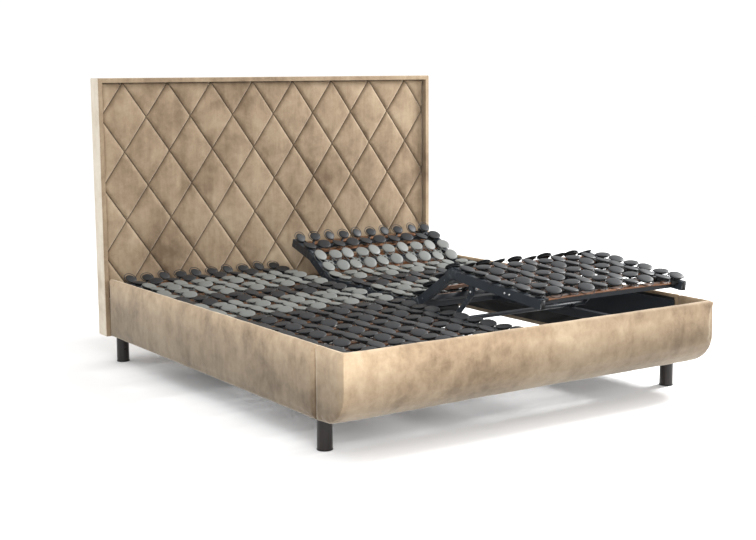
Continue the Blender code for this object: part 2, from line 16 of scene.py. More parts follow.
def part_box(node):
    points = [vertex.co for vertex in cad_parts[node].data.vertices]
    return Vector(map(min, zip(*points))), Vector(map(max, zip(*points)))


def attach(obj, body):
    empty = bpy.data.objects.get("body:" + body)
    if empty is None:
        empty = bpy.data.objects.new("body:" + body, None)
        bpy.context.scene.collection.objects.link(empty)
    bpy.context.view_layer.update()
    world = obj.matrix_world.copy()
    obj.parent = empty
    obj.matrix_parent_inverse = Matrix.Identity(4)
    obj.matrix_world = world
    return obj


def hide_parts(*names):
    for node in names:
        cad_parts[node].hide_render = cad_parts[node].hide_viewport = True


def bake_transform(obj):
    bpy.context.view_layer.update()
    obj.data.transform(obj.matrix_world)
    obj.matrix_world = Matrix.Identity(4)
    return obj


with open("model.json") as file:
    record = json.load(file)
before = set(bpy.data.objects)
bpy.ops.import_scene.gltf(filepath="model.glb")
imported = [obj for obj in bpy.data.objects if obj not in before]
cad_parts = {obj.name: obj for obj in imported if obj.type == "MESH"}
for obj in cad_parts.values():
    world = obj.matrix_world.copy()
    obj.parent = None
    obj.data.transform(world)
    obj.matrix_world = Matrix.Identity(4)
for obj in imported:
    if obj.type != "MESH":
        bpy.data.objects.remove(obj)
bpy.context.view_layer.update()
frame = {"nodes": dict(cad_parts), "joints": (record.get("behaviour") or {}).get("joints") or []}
NODES = frame["nodes"]

# %% [markdown]
# ## Where things are
# Each moving section is drawn lying flat and then lifted to its resting
# slope. The hinge points come from the joints, and the slope of a section is
# read from the broad faces of its plates, so no angle is typed in twice.

# %% Section hinges, slopes and the matrix that lifts a flat section
HANDS = {"left": -1, "right": 1}
SECTIONS = ("calf", "thigh", "seat", "back", "shoulder", "neck")
ANCHORS = {joint["name"]: Vector(joint["pos_m"]) for joint in frame["joints"]}
MIDDLE = {hand: (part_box(f"{hand}_seat_plates")[0].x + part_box(f"{hand}_seat_plates")[1].x) / 2
          for hand in HANDS}
ROW_PITCH = 0.1815
HINGE_Z = 0.352
THIGH_Y = ANCHORS["left_thigh_hinge"].y
KNEE_Y = ANCHORS["left_calf_hinge"].y
DECK_FOOT = THIGH_Y - 5 * ROW_PITCH
FLAT_Y = {"calf": KNEE_Y, "thigh": THIGH_Y, "seat": THIGH_Y,
          "back": THIGH_Y + 2 * ROW_PITCH, "shoulder": THIGH_Y + 4 * ROW_PITCH,
          "neck": THIGH_Y + 5 * ROW_PITCH}
ROWS = {"calf": (0, 1, 2), "thigh": (3, 4), "seat": (5, 6),
        "back": (7, 8), "shoulder": (9,), "neck": (10,)}


def slope_of(node):
    """Angle of a node's broad upward faces, in radians, rising to the head."""
    up = Vector()
    for face in NODES[node].data.polygons:
        if face.normal.z > 0.7:
            up += face.normal * face.area
    return math.atan2(-up.y, up.z)


def lifted(hand, section):
    """Matrix from the flat layout to a section's resting place."""
    if section == "seat":
        return Matrix.Identity(4)
    flat = Vector((MIDDLE[hand], FLAT_Y[section], HINGE_Z))
    rest = ANCHORS[f"{hand}_{section}_hinge"]
    turn = Matrix.Rotation(slope_of(f"{hand}_{section}_plates"), 4, "X")
    return Matrix.Translation(rest) @ turn @ Matrix.Translation(-flat)


def body_of(hand, section):
    return "surround" if section == "seat" else f"{hand}_{section}"


for hand in HANDS:
    print(hand, {key: round(math.degrees(slope_of(f"{hand}_{key}_plates")), 1)
                 for key in SECTIONS})

# %% [markdown]
# ## The camera
# A long lens from the foot corner, a little above the footboard. The small
# shift slides the view without bending it.

# %% Camera
YAW, PITCH, ROLL = 0.5855, 0.1395, -0.0069
ahead = Vector((math.sin(YAW) * math.cos(PITCH), math.cos(YAW) * math.cos(PITCH),
                -math.sin(PITCH)))
level = Vector((math.cos(YAW), -math.sin(YAW), 0))
above = level.cross(ahead)
across = math.cos(ROLL) * level + math.sin(ROLL) * above
above = math.cos(ROLL) * above - math.sin(ROLL) * level
camera = bpy.data.objects.new("camera", bpy.data.cameras.new("camera"))
bpy.context.scene.collection.objects.link(camera)
camera.matrix_world = Matrix.Translation((-3.3225, -4.8527, 1.3596)) @ Matrix(
    (across, above, -ahead)).transposed().to_4x4()
camera.data.lens = 62.97
camera.data.shift_x, camera.data.shift_y = 0.01222, -0.01587
camera.data.clip_end = 60
bpy.context.scene.camera = camera
print("lens", camera.data.lens, "mm")

# %% [markdown]
# ## Studio
# A pale floor and a white room give soft light from all round. One large
# lamp on the right picks out the right-hand wall of every quilting groove,
# and a weaker one on the left keeps the near rail from going dark.

# %% Floor, room and lamps
def studio_lamp(name, place, target, size, power):
    data = bpy.data.lights.new(name, "AREA")
    data.size, data.energy = size, power
    lamp = bpy.data.objects.new(name, data)
    bpy.context.scene.collection.objects.link(lamp)
    lamp.location = place
    lamp.rotation_euler = (Vector(target) - Vector(place)).to_track_quat("-Z", "Y").to_euler()


bpy.ops.mesh.primitive_plane_add(size=60, location=(0, 0, -0.001))
floor = bpy.context.object
floor.name = "studio_floor"
FLOOR_FINISH = bpy.data.materials.new("studio_floor")
FLOOR_FINISH.use_nodes = True
FLOOR_FINISH.node_tree.nodes["Principled BSDF"].inputs["Base Color"].default_value = (
    1.0, 1.0, 1.0, 1)
FLOOR_FINISH.node_tree.nodes["Principled BSDF"].inputs["Roughness"].default_value = 0.9
floor.data.materials.append(FLOOR_FINISH)
room = bpy.data.worlds.new("white_room")
room.use_nodes = True
room.node_tree.nodes["Background"].inputs["Color"].default_value = (1, 1, 1, 1)
room.node_tree.nodes["Background"].inputs["Strength"].default_value = 1.05
bpy.context.scene.world = room
bpy.context.scene.view_settings.view_transform = "Standard"
studio_lamp("right_lamp", (4.4, -0.5, 3.0), (0, 0.6, 0.7), 1.4, 400)
studio_lamp("left_lamp", (-2.4, -4.6, 2.6), (-0.6, -1.0, 0.3), 1.8, 110)
print("lamps set")

# %% [markdown]
# ## A few words for building materials
# Every finish below is a small network of nodes. These helpers add a node,
# set its plain values and wire it up, so that each finish reads as a recipe.

# %% Material helpers
def finish_named(name, roughness, **plain):
    """A new material and its shader, with uniform values on the shader."""
    material = bpy.data.materials.new(name)
    material.use_nodes = True
    shader = material.node_tree.nodes["Principled BSDF"]
    shader.inputs["Roughness"].default_value = roughness
    for key, value in plain.items():
        shader.inputs[key.replace("_", " ")].default_value = value
    return material, shader


def add(material, kind, values=(), **settings):
    """Adds a node; values are (input name, number or output socket) pairs."""
    item = material.node_tree.nodes.new("ShaderNode" + kind)
    for key, value in settings.items():
        setattr(item, key, value)
    for key, value in values:
        if isinstance(value, bpy.types.NodeSocket):
            material.node_tree.links.new(value, item.inputs[key])
        else:
            item.inputs[key].default_value = value
    return item


def here(material, stretch=(1, 1, 1), attribute=None):
    """Object coordinates, or a stored attribute, stretched along its axes."""
    if attribute:
        source = add(material, "Attribute", attribute_name=attribute).outputs["Vector"]
    else:
        source = add(material, "TexCoord").outputs["Object"]
    return add(material, "Mapping", [("Vector", source), ("Scale", stretch)]).outputs[0]


def cloud(material, vector, scale, detail=4.0, rough=0.55, distortion=0.0):
    item = add(material, "TexNoise", [("Vector", vector), ("Scale", scale),
               ("Detail", detail), ("Roughness", rough), ("Distortion", distortion)])
    return item.outputs[0]


def ramp(material, value, stops):
    """A colour ramp; stops are (position, colour) pairs."""
    item = add(material, "ValToRGB", [("Fac", value)])
    while len(item.color_ramp.elements) < len(stops):
        item.color_ramp.elements.new(0.5)
    for element, (position, colour) in zip(item.color_ramp.elements, stops):
        element.position = position
        element.color = (*colour, 1) if len(colour) == 3 else (colour[0],) * 3 + (1,)
    return item.outputs[0]


def mixed(material, amount, first, second, how="MIX"):
    item = add(material, "Mix", data_type="RGBA", blend_type=how)
    for socket, value in ((item.inputs[0], amount), (item.inputs[6], first),
                          (item.inputs[7], second)):
        if isinstance(value, bpy.types.NodeSocket):
            material.node_tree.links.new(value, socket)
        elif isinstance(value, tuple):
            socket.default_value = (*value, 1)
        else:
            socket.default_value = value
    return item.outputs[2]


def bumped(material, shader, height, strength, distance, below=None):
    item = add(material, "Bump", [("Height", height), ("Strength", strength),
               ("Distance", distance)])
    if below is not None:
        material.node_tree.links.new(below, item.inputs["Normal"])
    material.node_tree.links.new(item.outputs[0], shader.inputs["Normal"])
    return item.outputs[0]


def wire(material, source, shader, key):
    material.node_tree.links.new(source, shader.inputs[key])


print("material helpers ready")

# %% [markdown]
# ## Crushed velvet
# Velvet is dark where one looks into the pile and pale where the pile leans
# over, and the crushing leaves soft patches a hand wide with finer streaks
# in them. Two clouds of different size mix three tans; a third, drawn out
# upwards, gives the brushed streaks. Sheen makes the pile glow at its edges.
# Two gradients are painted light and shade: one pales the cloth toward its top and darkens it toward its
# bottom, the other pales its left end and darkens its right end.

# %% Velvet
TAN_DEEP, TAN, TAN_PALE = (0.145, 0.097, 0.058), (0.262, 0.190, 0.122), (0.372, 0.288, 0.194)


def velvet(name, deep, middle, pale, streak=(1, 1, 0.16), streak_share=0.22, painted_top_light=None, painted_side_light=None):
    material, shader = finish_named(name, 0.82, Sheen_Weight=0.55, Sheen_Roughness=0.42,
                                    Sheen_Tint=(1.0, 0.93, 0.80, 1), Specular_IOR_Level=0.2)
    patches = cloud(material, here(material), 3.4, 6, 0.62, 0.25)
    brushed = cloud(material, here(material, streak), 24, 5, 0.62, 0.3)
    blotches = cloud(material, here(material), 13, 8, 0.70, 0.2)
    depth = mixed(material, 0.42, patches, blotches)
    depth = mixed(material, streak_share, depth, brushed)
    colour = ramp(material, depth, [(0.37, deep), (0.50, middle), (0.64, pale)])
    # Painted light and shade: the cloth is paler toward its top and darker toward its bottom.
    if painted_top_light:
        height = add(material, "SeparateXYZ", [("Vector", here(material))]).outputs["Z"]
        level = add(material, "MapRange", [("Value", height), ("From Min", painted_top_light[0]),
                    ("From Max", painted_top_light[1])]).outputs[0]
        colour = mixed(material, 1.0, colour, ramp(material, level, [(0.0, (0.50,)), (0.55, (0.88,)),
                       (0.92, (1.55,))]), "MULTIPLY")
    # Painted light and shade: paler at the left end, darker at the right end.
    if painted_side_light:
        across = add(material, "SeparateXYZ", [("Vector", here(material))]).outputs["X"]
        level = add(material, "MapRange", [("Value", across), ("From Min", -painted_side_light),
                    ("From Max", painted_side_light)]).outputs[0]
        colour = mixed(material, 1.0, colour, ramp(material, level, [(0.0, (1.10,)), (0.35, (0.90,)),
                       (1.0, (0.72,))]), "MULTIPLY")
    # Painted shade: where the stored groove attribute is high, the velvet is darkened down in the
    # quilting grooves.
    seam = add(material, "Attribute", attribute_name="seam").outputs["Fac"]
    colour = mixed(material, seam, colour, tuple(0.30 * c for c in deep))
    pile = cloud(material, here(material), 900, 2, 0.7)
    colour = mixed(material, 0.16, colour, ramp(material, pile, [(0.3, (0.62,)), (0.7, (1.0,))]),
                   "MULTIPLY")
    wire(material, colour, shader, "Base Color")
    nap = bumped(material, shader, pile, 0.25, 0.0006)
    bumped(material, shader, blotches, 0.22, 0.004, nap)
    return material


VELVET = velvet("velvet", TAN_DEEP, TAN, TAN_PALE)
# Painted shading: the rail and foot velvets get painted top-to-bottom gradients. The foot velvet is also
# paler all over and toward its left end, which is painted light.
RAIL_VELVET_PAINTED_SHADING = velvet("rail_velvet", tuple(0.85 * c for c in TAN_DEEP), TAN, TAN_PALE, (1, 1, 0.30), 0.16,
                     (0.12, 0.42))
FOOT_VELVET_PAINTED_SHADING = velvet("foot_velvet", TAN_DEEP, tuple(1.12 * c for c in TAN),
                     tuple(1.12 * c for c in TAN_PALE), (1, 1, 0.30), 0.16, (0.10, 0.37), 0.93)
print("finish:", VELVET.name)

# %% [markdown]
# ## Powder-coated steel, lacquer, beech and plastic
# Powder coat is a satin skin with a faint orange-peel; it wears thin and
# shiny along the arrises of a tube. A bevelled normal compared with the true
# one finds those arrises on any mesh. Lacquered legs are smoother and nearly
# black. Slats are laminated: long grain above, fine stripes on the edge.
# Moulded plates are satin with a fine spark-eroded texture, and their downward faces carry painted
# shade.

# %% Steel and lacquer
def powder_coat(name, colour, worn, roughness):
    material, shader = finish_named(name, roughness, Coat_Weight=0.10, Coat_Roughness=0.35,
                                    Specular_IOR_Level=0.35)
    peel = cloud(material, here(material), 420, 2, 0.5)
    smudge = cloud(material, here(material), 9, 5, 0.6, 0.5)
    soft = add(material, "Bevel", [("Radius", 0.0022)], samples=4).outputs[0]
    sharp = add(material, "NewGeometry").outputs["True Normal"]
    near = add(material, "VectorMath", [(0, soft), (1, sharp)], operation="DOT_PRODUCT")
    arris = ramp(material, near.outputs["Value"], [(0.90, (1.0,)), (0.985, (0.0,))])
    breakup = ramp(material, cloud(material, here(material), 55, 5, 0.7),
                   [(0.45, (0.0,)), (0.62, (1.0,))])
    wear = mixed(material, 1.0, arris, breakup, "MULTIPLY")
    body = mixed(material, smudge, tuple(0.72 * c for c in colour), tuple(1.3 * c for c in colour))
    wire(material, mixed(material, wear, body, worn), shader, "Base Color")
    wire(material, ramp(material, smudge, [(0.3, (roughness * 0.75,)), (0.7, (roughness * 1.25,))]),
         shader, "Roughness")
    bumped(material, shader, peel, 0.12, 0.0005, soft)
    return material


STEEL = powder_coat("steel", (0.022, 0.028, 0.036), (0.09, 0.10, 0.11), 0.50)
LACQUER = powder_coat("leg_lacquer", (0.009, 0.006, 0.005), (0.040, 0.026, 0.020), 0.34)
BRIGHT, bright_shader = finish_named("bright_zinc", 0.28, Metallic=1.0)
zinc = cloud(BRIGHT, here(BRIGHT), 260, 3, 0.6)
wire(BRIGHT, ramp(BRIGHT, zinc, [(0.3, (0.42, 0.43, 0.44)), (0.7, (0.72, 0.73, 0.74))]),
     bright_shader, "Base Color")
bumped(BRIGHT, bright_shader, zinc, 0.15, 0.0003)
print("finishes:", STEEL.name, LACQUER.name, BRIGHT.name)


# %% Beech, pine and plastics
def timber(name, dark, pale, roughness, attribute=None, along=(3, 40, 40)):
    material, shader = finish_named(name, roughness, Coat_Weight=0.25, Coat_Roughness=0.25)
    grain = cloud(material, here(material, along, attribute), 6, 6, 0.65, 0.8)
    tone = cloud(material, here(material), 7, 3, 0.5)
    colour = ramp(material, grain, [(0.32, dark), (0.62, pale)])
    colour = mixed(material, 0.35, colour, ramp(material, tone, [(0.35, (0.55,)), (0.65, (1.1,))]),
                   "MULTIPLY")
    if attribute:
        plies = add(material, "SeparateXYZ", [("Vector", here(material, (1, 1, 1), attribute))])
        stripe = add(material, "Math", [(0, plies.outputs["Z"]), (1, 2600.0)], operation="MULTIPLY")
        wave = add(material, "Math", [(0, stripe.outputs[0])], operation="SINE")
        colour = mixed(material, ramp(material, wave.outputs[0], [(0.35, (0.0,)), (0.6, (0.45,))]),
                       colour, pale)
    wire(material, colour, shader, "Base Color")
    bumped(material, shader, grain, 0.15, 0.0006)
    return material


def moulded(name, colour, roughness):
    material, shader = finish_named(name, roughness, Specular_IOR_Level=0.28)
    texture = cloud(material, here(material), 700, 2, 0.6)
    tone = cloud(material, here(material), 12, 3, 0.6)
    scuff = ramp(material, cloud(material, here(material, (1, 3, 1)), 80, 5, 0.7, 0.4),
                 [(0.62, (0.0,)), (0.75, (0.35,))])
    body = mixed(material, tone, tuple(0.8 * c for c in colour), tuple(1.2 * c for c in colour))
    body = mixed(material, scuff, body, tuple(1.5 * c + 0.01 for c in colour))
    # Painted shade: the stored underside attribute turns a plate's downward faces nearly black.
    belly = add(material, "Attribute", attribute_name="belly").outputs["Fac"]
    wire(material, mixed(material, belly, body, (0.010, 0.011, 0.013)), shader, "Base Color")
    wire(material, ramp(material, tone, [(0.3, (roughness * 0.8,)), (0.7, (roughness * 1.2,))]),
         shader, "Roughness")
    bumped(material, shader, texture, 0.12, 0.0004)
    return material


BEECH = timber("beech", (0.060, 0.022, 0.010), (0.260, 0.110, 0.045), 0.34, attribute="local")
PINE = timber("pine", (0.34, 0.22, 0.12), (0.58, 0.43, 0.27), 0.6, along=(40, 3, 40))
PLASTIC = moulded("plastic", (0.018, 0.019, 0.021), 0.52)
PALE_PLASTIC = moulded("pale_plastic", (0.150, 0.156, 0.148), 0.50)
RUBBER = moulded("rubber", (0.010, 0.010, 0.011), 0.65)
LINING, lining_shader = finish_named("black_lining", 0.95)
weave = add(LINING, "TexWave", [("Vector", here(LINING)), ("Scale", 420.0), ("Distortion", 1.5)])
wire(LINING, ramp(LINING, weave.outputs["Fac"], [(0.2, (0.006,)), (0.8, (0.022,))]),
     lining_shader, "Base Color")
bumped(LINING, lining_shader, weave.outputs["Fac"], 0.3, 0.0005)
print("finishes:", BEECH.name, PINE.name, PLASTIC.name, PALE_PLASTIC.name, LINING.name)

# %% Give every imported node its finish
NODE_FINISH = (("_plates", PLASTIC), ("_slats", BEECH), ("_leg", LACQUER), ("centre_leg", LACQUER),
               ("corner_block", PINE), ("side_ledge", STEEL), ("centre_beam", STEEL),
               ("_frame", STEEL), ("knee_strut", STEEL), ("drive_unit", PLASTIC),
               ("headboard", VELVET), ("side_rail", VELVET), ("footboard", VELVET))
for name, item in NODES.items():
    for ending, material in NODE_FINISH:
        if ending in name:
            item.data.materials.clear()
            item.data.materials.append(material)
            break
    else:
        print("no finish for", name)
print("nodes finished:", len(NODES))

# %% [markdown]
# ## Mesh helpers
# A piece made here is either drawn point by point, swept along a path or
# turned on a lathe. Each helper adds to one working mesh, and the piece is
# named, finished and made to ride only when that mesh is whole.

# %% Mesh helpers
def made(name, work, material, smooth=True):
    """Turns a working bmesh into a named object with one finish."""
    mesh = bpy.data.meshes.new(name)
    work.to_mesh(mesh)
    work.free()
    piece = bpy.data.objects.new(name, mesh)
    bpy.context.scene.collection.objects.link(piece)
    mesh.materials.append(material)
    mesh.polygons.foreach_set("use_smooth", [smooth] * len(mesh.polygons))
    return piece


def baked(piece):
    """Applies a piece's modifiers and leaves a plain mesh."""
    shown = piece.evaluated_get(bpy.context.evaluated_depsgraph_get())
    mesh = bpy.data.meshes.new_from_object(shown)
    piece.modifiers.clear()
    piece.data = mesh
    mesh.name = piece.name
    return piece


def skin(work, rings, closed=True, caps=False):
    """Faces between rings of points that all have the same count."""
    rows = [[work.verts.new(point) for point in ring] for ring in rings]
    count = len(rows[0])
    for low, high in zip(rows, rows[1:]):
        for index in range(count if closed else count - 1):
            step = (index + 1) % count
            work.faces.new((low[index], low[step], high[step], high[index]))
    if caps:
        work.faces.new(list(reversed(rows[0])))
        work.faces.new(rows[-1])
    return rows


def lathe(work, profile, sides, centre=(0, 0, 0), place=None):
    """Turns (radius, height) points round the upright; ends at radius 0 close."""
    place = place or Matrix.Translation(centre)
    rings = []
    for radius, height in profile:
        rings.append([place @ Vector((radius * math.cos(2 * math.pi * k / sides),
                                      radius * math.sin(2 * math.pi * k / sides), height))
                      for k in range(sides)])
    rows = []
    for (radius, height), ring in zip(profile, rings):
        if radius == 0:
            rows.append([work.verts.new(place @ Vector((0, 0, height)))])
        else:
            rows.append([work.verts.new(point) for point in ring])
    for low, high in zip(rows, rows[1:]):
        for k in range(sides):
            step = (k + 1) % sides
            corners = ([low[k], low[step]] if len(low) > 1 else [low[0]]) + (
                [high[step], high[k]] if len(high) > 1 else [high[0]])
            work.faces.new(corners)


def rod(work, path, radius, sides=6, flat=1.0, closed=False):
    """Sweeps a round or flattened section along a path of points."""
    path = [Vector(point) for point in path]
    rings = []
    for index, point in enumerate(path):
        before = path[index - 1] if index or closed else point
        after = path[(index + 1) % len(path)] if index + 1 < len(path) or closed else point
        along = (after - before).normalized()
        side = along.cross(Vector((0, 0, 1)))
        side = side.normalized() if side.length > 1e-4 else Vector((1, 0, 0))
        upright = side.cross(along)
        rings.append([point + radius * (math.cos(turn) * side + flat * math.sin(turn) * upright)
                      for turn in (2 * math.pi * k / sides for k in range(sides))])
    if closed:
        skin(work, rings + rings[:1])
        bmesh.ops.remove_doubles(work, verts=work.verts, dist=1e-6)
    else:
        skin(work, rings, caps=True)


def block(work, low, high, place=None):
    """A plain block between two corners; it is rounded afterwards."""
    box = bmesh.ops.create_cube(work, size=1)["verts"]
    low, high = Vector(low), Vector(high)
    for vert in box:
        vert.co = Vector(((low[k] + high[k]) / 2 + vert.co[k] * (high[k] - low[k])
                          for k in range(3)))
        if place is not None:
            vert.co = place @ vert.co
    return box


def rounded(work, width, segments=2, verts=None):
    """Rounds the edges of the given corners, or of everything."""
    edges = work.edges[:] if verts is None else list({e for v in verts for e in v.link_edges})
    bmesh.ops.bevel(work, geom=edges, offset=width, segments=segments, affect="EDGES",
                    clamp_overlap=True)


def outward(work):
    bmesh.ops.recalc_face_normals(work, faces=work.faces)


print("mesh helpers ready")

# %% [markdown]
# ## Quilted headboard panel
# Upholsterers lay foam on a board and pull the velvet down along slanted
# lines. Between the lines each diamond puffs up with a flat crown, and at the
# lines it dives into a narrow groove. Cutting the mesh along the same slanted
# lines puts the points where the shape turns, so the grooves stay crisp with
# far fewer faces than an even grid would need.

# %% Lay out the diamonds
PANEL_LOW, PANEL_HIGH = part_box("headboard_panel")
DIAMOND_WIDE = (PANEL_HIGH.x - PANEL_LOW.x) / 8
DIAMOND_TALL = 0.326
GROOVE_SLOPE = math.hypot(1 / DIAMOND_WIDE, 1 / DIAMOND_TALL)
CUTS = 26


def slanted(x, z):
    """Position across the two families of quilting lines."""
    lift = (z - PANEL_HIGH.z) / DIAMOND_TALL
    return x / DIAMOND_WIDE + lift, x / DIAMOND_WIDE - lift


def diamond_sheet():
    work = bmesh.new()
    marks = [0.5 - 0.5 * math.cos(math.pi * k / CUTS) - 0.5 for k in range(CUTS + 1)]
    rows_down = math.ceil((PANEL_HIGH.z - PANEL_LOW.z) / DIAMOND_TALL) + 1
    for i in range(-5 - rows_down, 6):
        for j in range(-5, 6 + rows_down):
            x, z = (i + j) / 2 * DIAMOND_WIDE, PANEL_HIGH.z + (i - j) / 2 * DIAMOND_TALL
            if (abs(x) > PANEL_HIGH.x + DIAMOND_WIDE / 2
                    or not PANEL_LOW.z - DIAMOND_TALL / 2 < z < PANEL_HIGH.z + DIAMOND_TALL / 2):
                continue
            skin(work, [[Vector((x + (s + t) / 2 * DIAMOND_WIDE, 0, z + (s - t) / 2 * DIAMOND_TALL))
                         for t in marks] for s in marks], closed=False)
    bmesh.ops.remove_doubles(work, verts=work.verts, dist=1e-5)
    for inset in (0.0, 0.003, 0.007, 0.012, 0.018):
        for point, normal in (((PANEL_HIGH.x - inset, 0, 0), (1, 0, 0)),
                              ((PANEL_LOW.x + inset, 0, 0), (-1, 0, 0)),
                              ((0, 0, PANEL_HIGH.z - inset), (0, 0, 1)),
                              ((0, 0, PANEL_LOW.z + inset), (0, 0, -1))):
            everything = work.verts[:] + work.edges[:] + work.faces[:]
            bmesh.ops.bisect_plane(work, geom=everything, plane_co=point, plane_no=normal,
                                   clear_outer=inset == 0.0, dist=1e-6)
    return work


sheet_work = diamond_sheet()
print("diamond sheet:", len(sheet_work.faces), "faces")


# %% Puff the diamonds and pull down the grooves
PUFF, CROWN, GROOVE, EDGE_ROLL = 0.0150, 0.0040, 0.0046, 0.019


def line_gaps(x, z):
    """Distance to the nearest quilting line of each family."""
    return [abs((place % 1.0) - 0.5) / GROOVE_SLOPE for place in slanted(x, z)]


def quilt_depth(x, z):
    """How far the velvet stands behind its highest point."""
    near = line_gaps(x, z)
    fullness = (1 - math.exp(-near[0] / GROOVE)) * (1 - math.exp(-near[1] / GROOVE))
    swell = math.sin(math.pi * min(1, near[0] * GROOVE_SLOPE * 2) / 2) * math.sin(
        math.pi * min(1, near[1] * GROOVE_SLOPE * 2) / 2)
    pucker = noise.noise(Vector((x * 26, z * 26, 1.7))) * math.exp(-min(near) / 0.022)
    drift = noise.noise(Vector((x * 7, z * 7, 4.2)))
    edge = min(PANEL_HIGH.x - abs(x), PANEL_HIGH.z - z, z - PANEL_LOW.z)
    turned = max(0.0, 1 - edge / EDGE_ROLL)
    roll = EDGE_ROLL * 0.8 * (1 - math.sqrt(max(0.0, 1 - turned * turned)))
    return (PUFF * (1 - fullness) + CROWN * (1 - swell) + roll
            - 0.0009 * pucker - 0.0008 * drift)


FRONT_Y = PANEL_LOW.y - 0.002
for vert in sheet_work.verts:
    vert.co.y = FRONT_Y + quilt_depth(vert.co.x, vert.co.z)
rim = [edge for edge in sheet_work.edges if edge.is_boundary]
wall = bmesh.ops.extrude_edge_only(sheet_work, edges=rim)["geom"]
for item in wall:
    if isinstance(item, bmesh.types.BMVert):
        item.co.y = PANEL_HIGH.y
bmesh.ops.holes_fill(sheet_work, edges=[e for e in sheet_work.edges if e.is_boundary])
outward(sheet_work)
PANEL = made("quilted_panel", sheet_work, VELVET)
# Painted shade: each point stores how strongly its quilting groove is darkened.
seam = PANEL.data.attributes.new("seam", "FLOAT", "POINT")
seam.data.foreach_set("value", [0.70 * math.exp(-(min(line_gaps(vert.co.x, vert.co.z)) / 0.0017) ** 2)
                                for vert in PANEL.data.vertices])
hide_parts("headboard_panel")
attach(PANEL, "surround")
print("quilted panel:", len(PANEL.data.polygons), "faces")

# %% [markdown]
# ## Velvet covers over the boards
# A covered board has no hard arris. The velvet bridges its corners, swells a
# little where the wadding is thick and pulls in along each seam. Each cover
# starts as a copy of the board it hides, is remeshed evenly, relaxed, and
# then swollen by a short cloth simulation with air pressure inside; the side
# that lies against timber is held still.

# %% Cover helpers
def copy_of(node, name):
    mesh = NODES[node].data.copy()
    work = bmesh.new()
    work.from_mesh(mesh)
    bmesh.ops.remove_doubles(work, verts=work.verts, dist=1e-5)
    piece = made(name, work, VELVET)
    return piece


def points_of(piece):
    flat = np.empty(len(piece.data.vertices) * 3)
    piece.data.vertices.foreach_get("co", flat)
    return flat.reshape(-1, 3)


def normals_of(piece):
    flat = np.empty(len(piece.data.vertices) * 3)
    piece.data.vertices.foreach_get("normal", flat)
    return flat.reshape(-1, 3)


def set_points(piece, points):
    piece.data.vertices.foreach_set("co", points.ravel())
    piece.data.update()


def relaxed(piece, voxel, rounds, finish=RAIL_VELVET_PAINTED_SHADING):
    """Even mesh, with every arris softened."""
    remesh = piece.modifiers.new("even", "REMESH")
    remesh.mode, remesh.voxel_size = "VOXEL", voxel
    baked(piece)
    smooth = piece.modifiers.new("relax", "SMOOTH")
    smooth.factor, smooth.iterations = 0.5, rounds
    baked(piece)
    piece.data.materials.clear()
    piece.data.materials.append(finish)
    return piece


def swollen(piece, held, pressure, cap, frames=16):
    """Cloth with air inside; held gives 1 for points that may not move."""
    start = points_of(piece)
    group = piece.vertex_groups.new(name="held")
    for index in np.nonzero(held > 0)[0]:
        group.add([int(index)], float(held[index]), "REPLACE")
    cloth = piece.modifiers.new("swell", "CLOTH")
    cloth.settings.quality = 4
    cloth.settings.use_pressure = True
    cloth.settings.uniform_pressure_force = pressure
    cloth.settings.vertex_group_mass = "held"
    cloth.settings.effector_weights.gravity = 0
    cloth.settings.tension_stiffness = cloth.settings.compression_stiffness = 12
    cloth.settings.bending_stiffness = 0.4
    cloth.collision_settings.use_collision = False
    cloth.point_cache.frame_end = frames
    for step in range(1, frames + 1):
        bpy.context.scene.frame_set(step)
    baked(piece)
    bpy.context.scene.frame_set(1)
    moved = points_of(piece) - start
    far = np.linalg.norm(moved, axis=1, keepdims=True)
    set_points(piece, start + moved * np.minimum(1, cap / np.maximum(far, 1e-9)))
    print(piece.name, "swelled up to", round(float(far.max()) * 1000, 1), "mm")
    return piece


def ruffled(piece, amount, stretch, seed):
    """Soft uneven fullness."""
    points, normals = points_of(piece), normals_of(piece)
    shift = np.array([noise.fractal(Vector((p[0] * stretch[0], p[1] * stretch[1],
                                            p[2] * stretch[2] + seed)), 0.8, 2.0, 3)
                      for p in points]) * amount
    set_points(piece, points + normals * shift[:, None])
    return piece


def covers(piece, node):
    piece.data.polygons.foreach_set("use_smooth", [True] * len(piece.data.polygons))
    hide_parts(node)
    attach(piece, "surround")
    print(piece.name, len(piece.data.polygons), "faces")


# %% Side rails
RAIL_VOXEL = 0.0065
for hand, side in HANDS.items():
    low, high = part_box(f"{hand}_side_rail")
    rail = relaxed(copy_of(f"{hand}_side_rail", f"{hand}_rail_cover"), RAIL_VOXEL, 4)
    outer = (points_of(rail)[:, 0] * side - (low.x * side + high.x * side) / 2) > 0.002
    swollen(rail, 1.0 - outer, 3.0, 0.0028)
    ruffled(rail, 0.0011, (9, 9, 3.2), 3.0 * side)
    covers(rail, f"{hand}_side_rail")

# %% Footboard
low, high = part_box("footboard")
foot = relaxed(copy_of("footboard", "footboard_cover"), 0.0068, 5, FOOT_VELVET_PAINTED_SHADING)
points = points_of(foot)
normal = normals_of(foot)
inside = ((np.abs(points[:, 0]) < high.x - 0.012) & (points[:, 1] > low.y + 0.012)
          & (normal[:, 1] > -0.2) & (normal[:, 2] > -0.4)).astype(float)
swollen(foot, inside, 3.0, 0.003)
ruffled(foot, 0.0012, (9, 9, 3.2), 7.0)
# Painted shading: the footboard's front takes the paler foot velvet and its two ends take the darker
# rail velvet.
foot.data.materials.append(RAIL_VELVET_PAINTED_SHADING)
for face in foot.data.polygons:
    face.material_index = int(abs(face.normal.x) > 0.6)
covers(foot, "footboard")
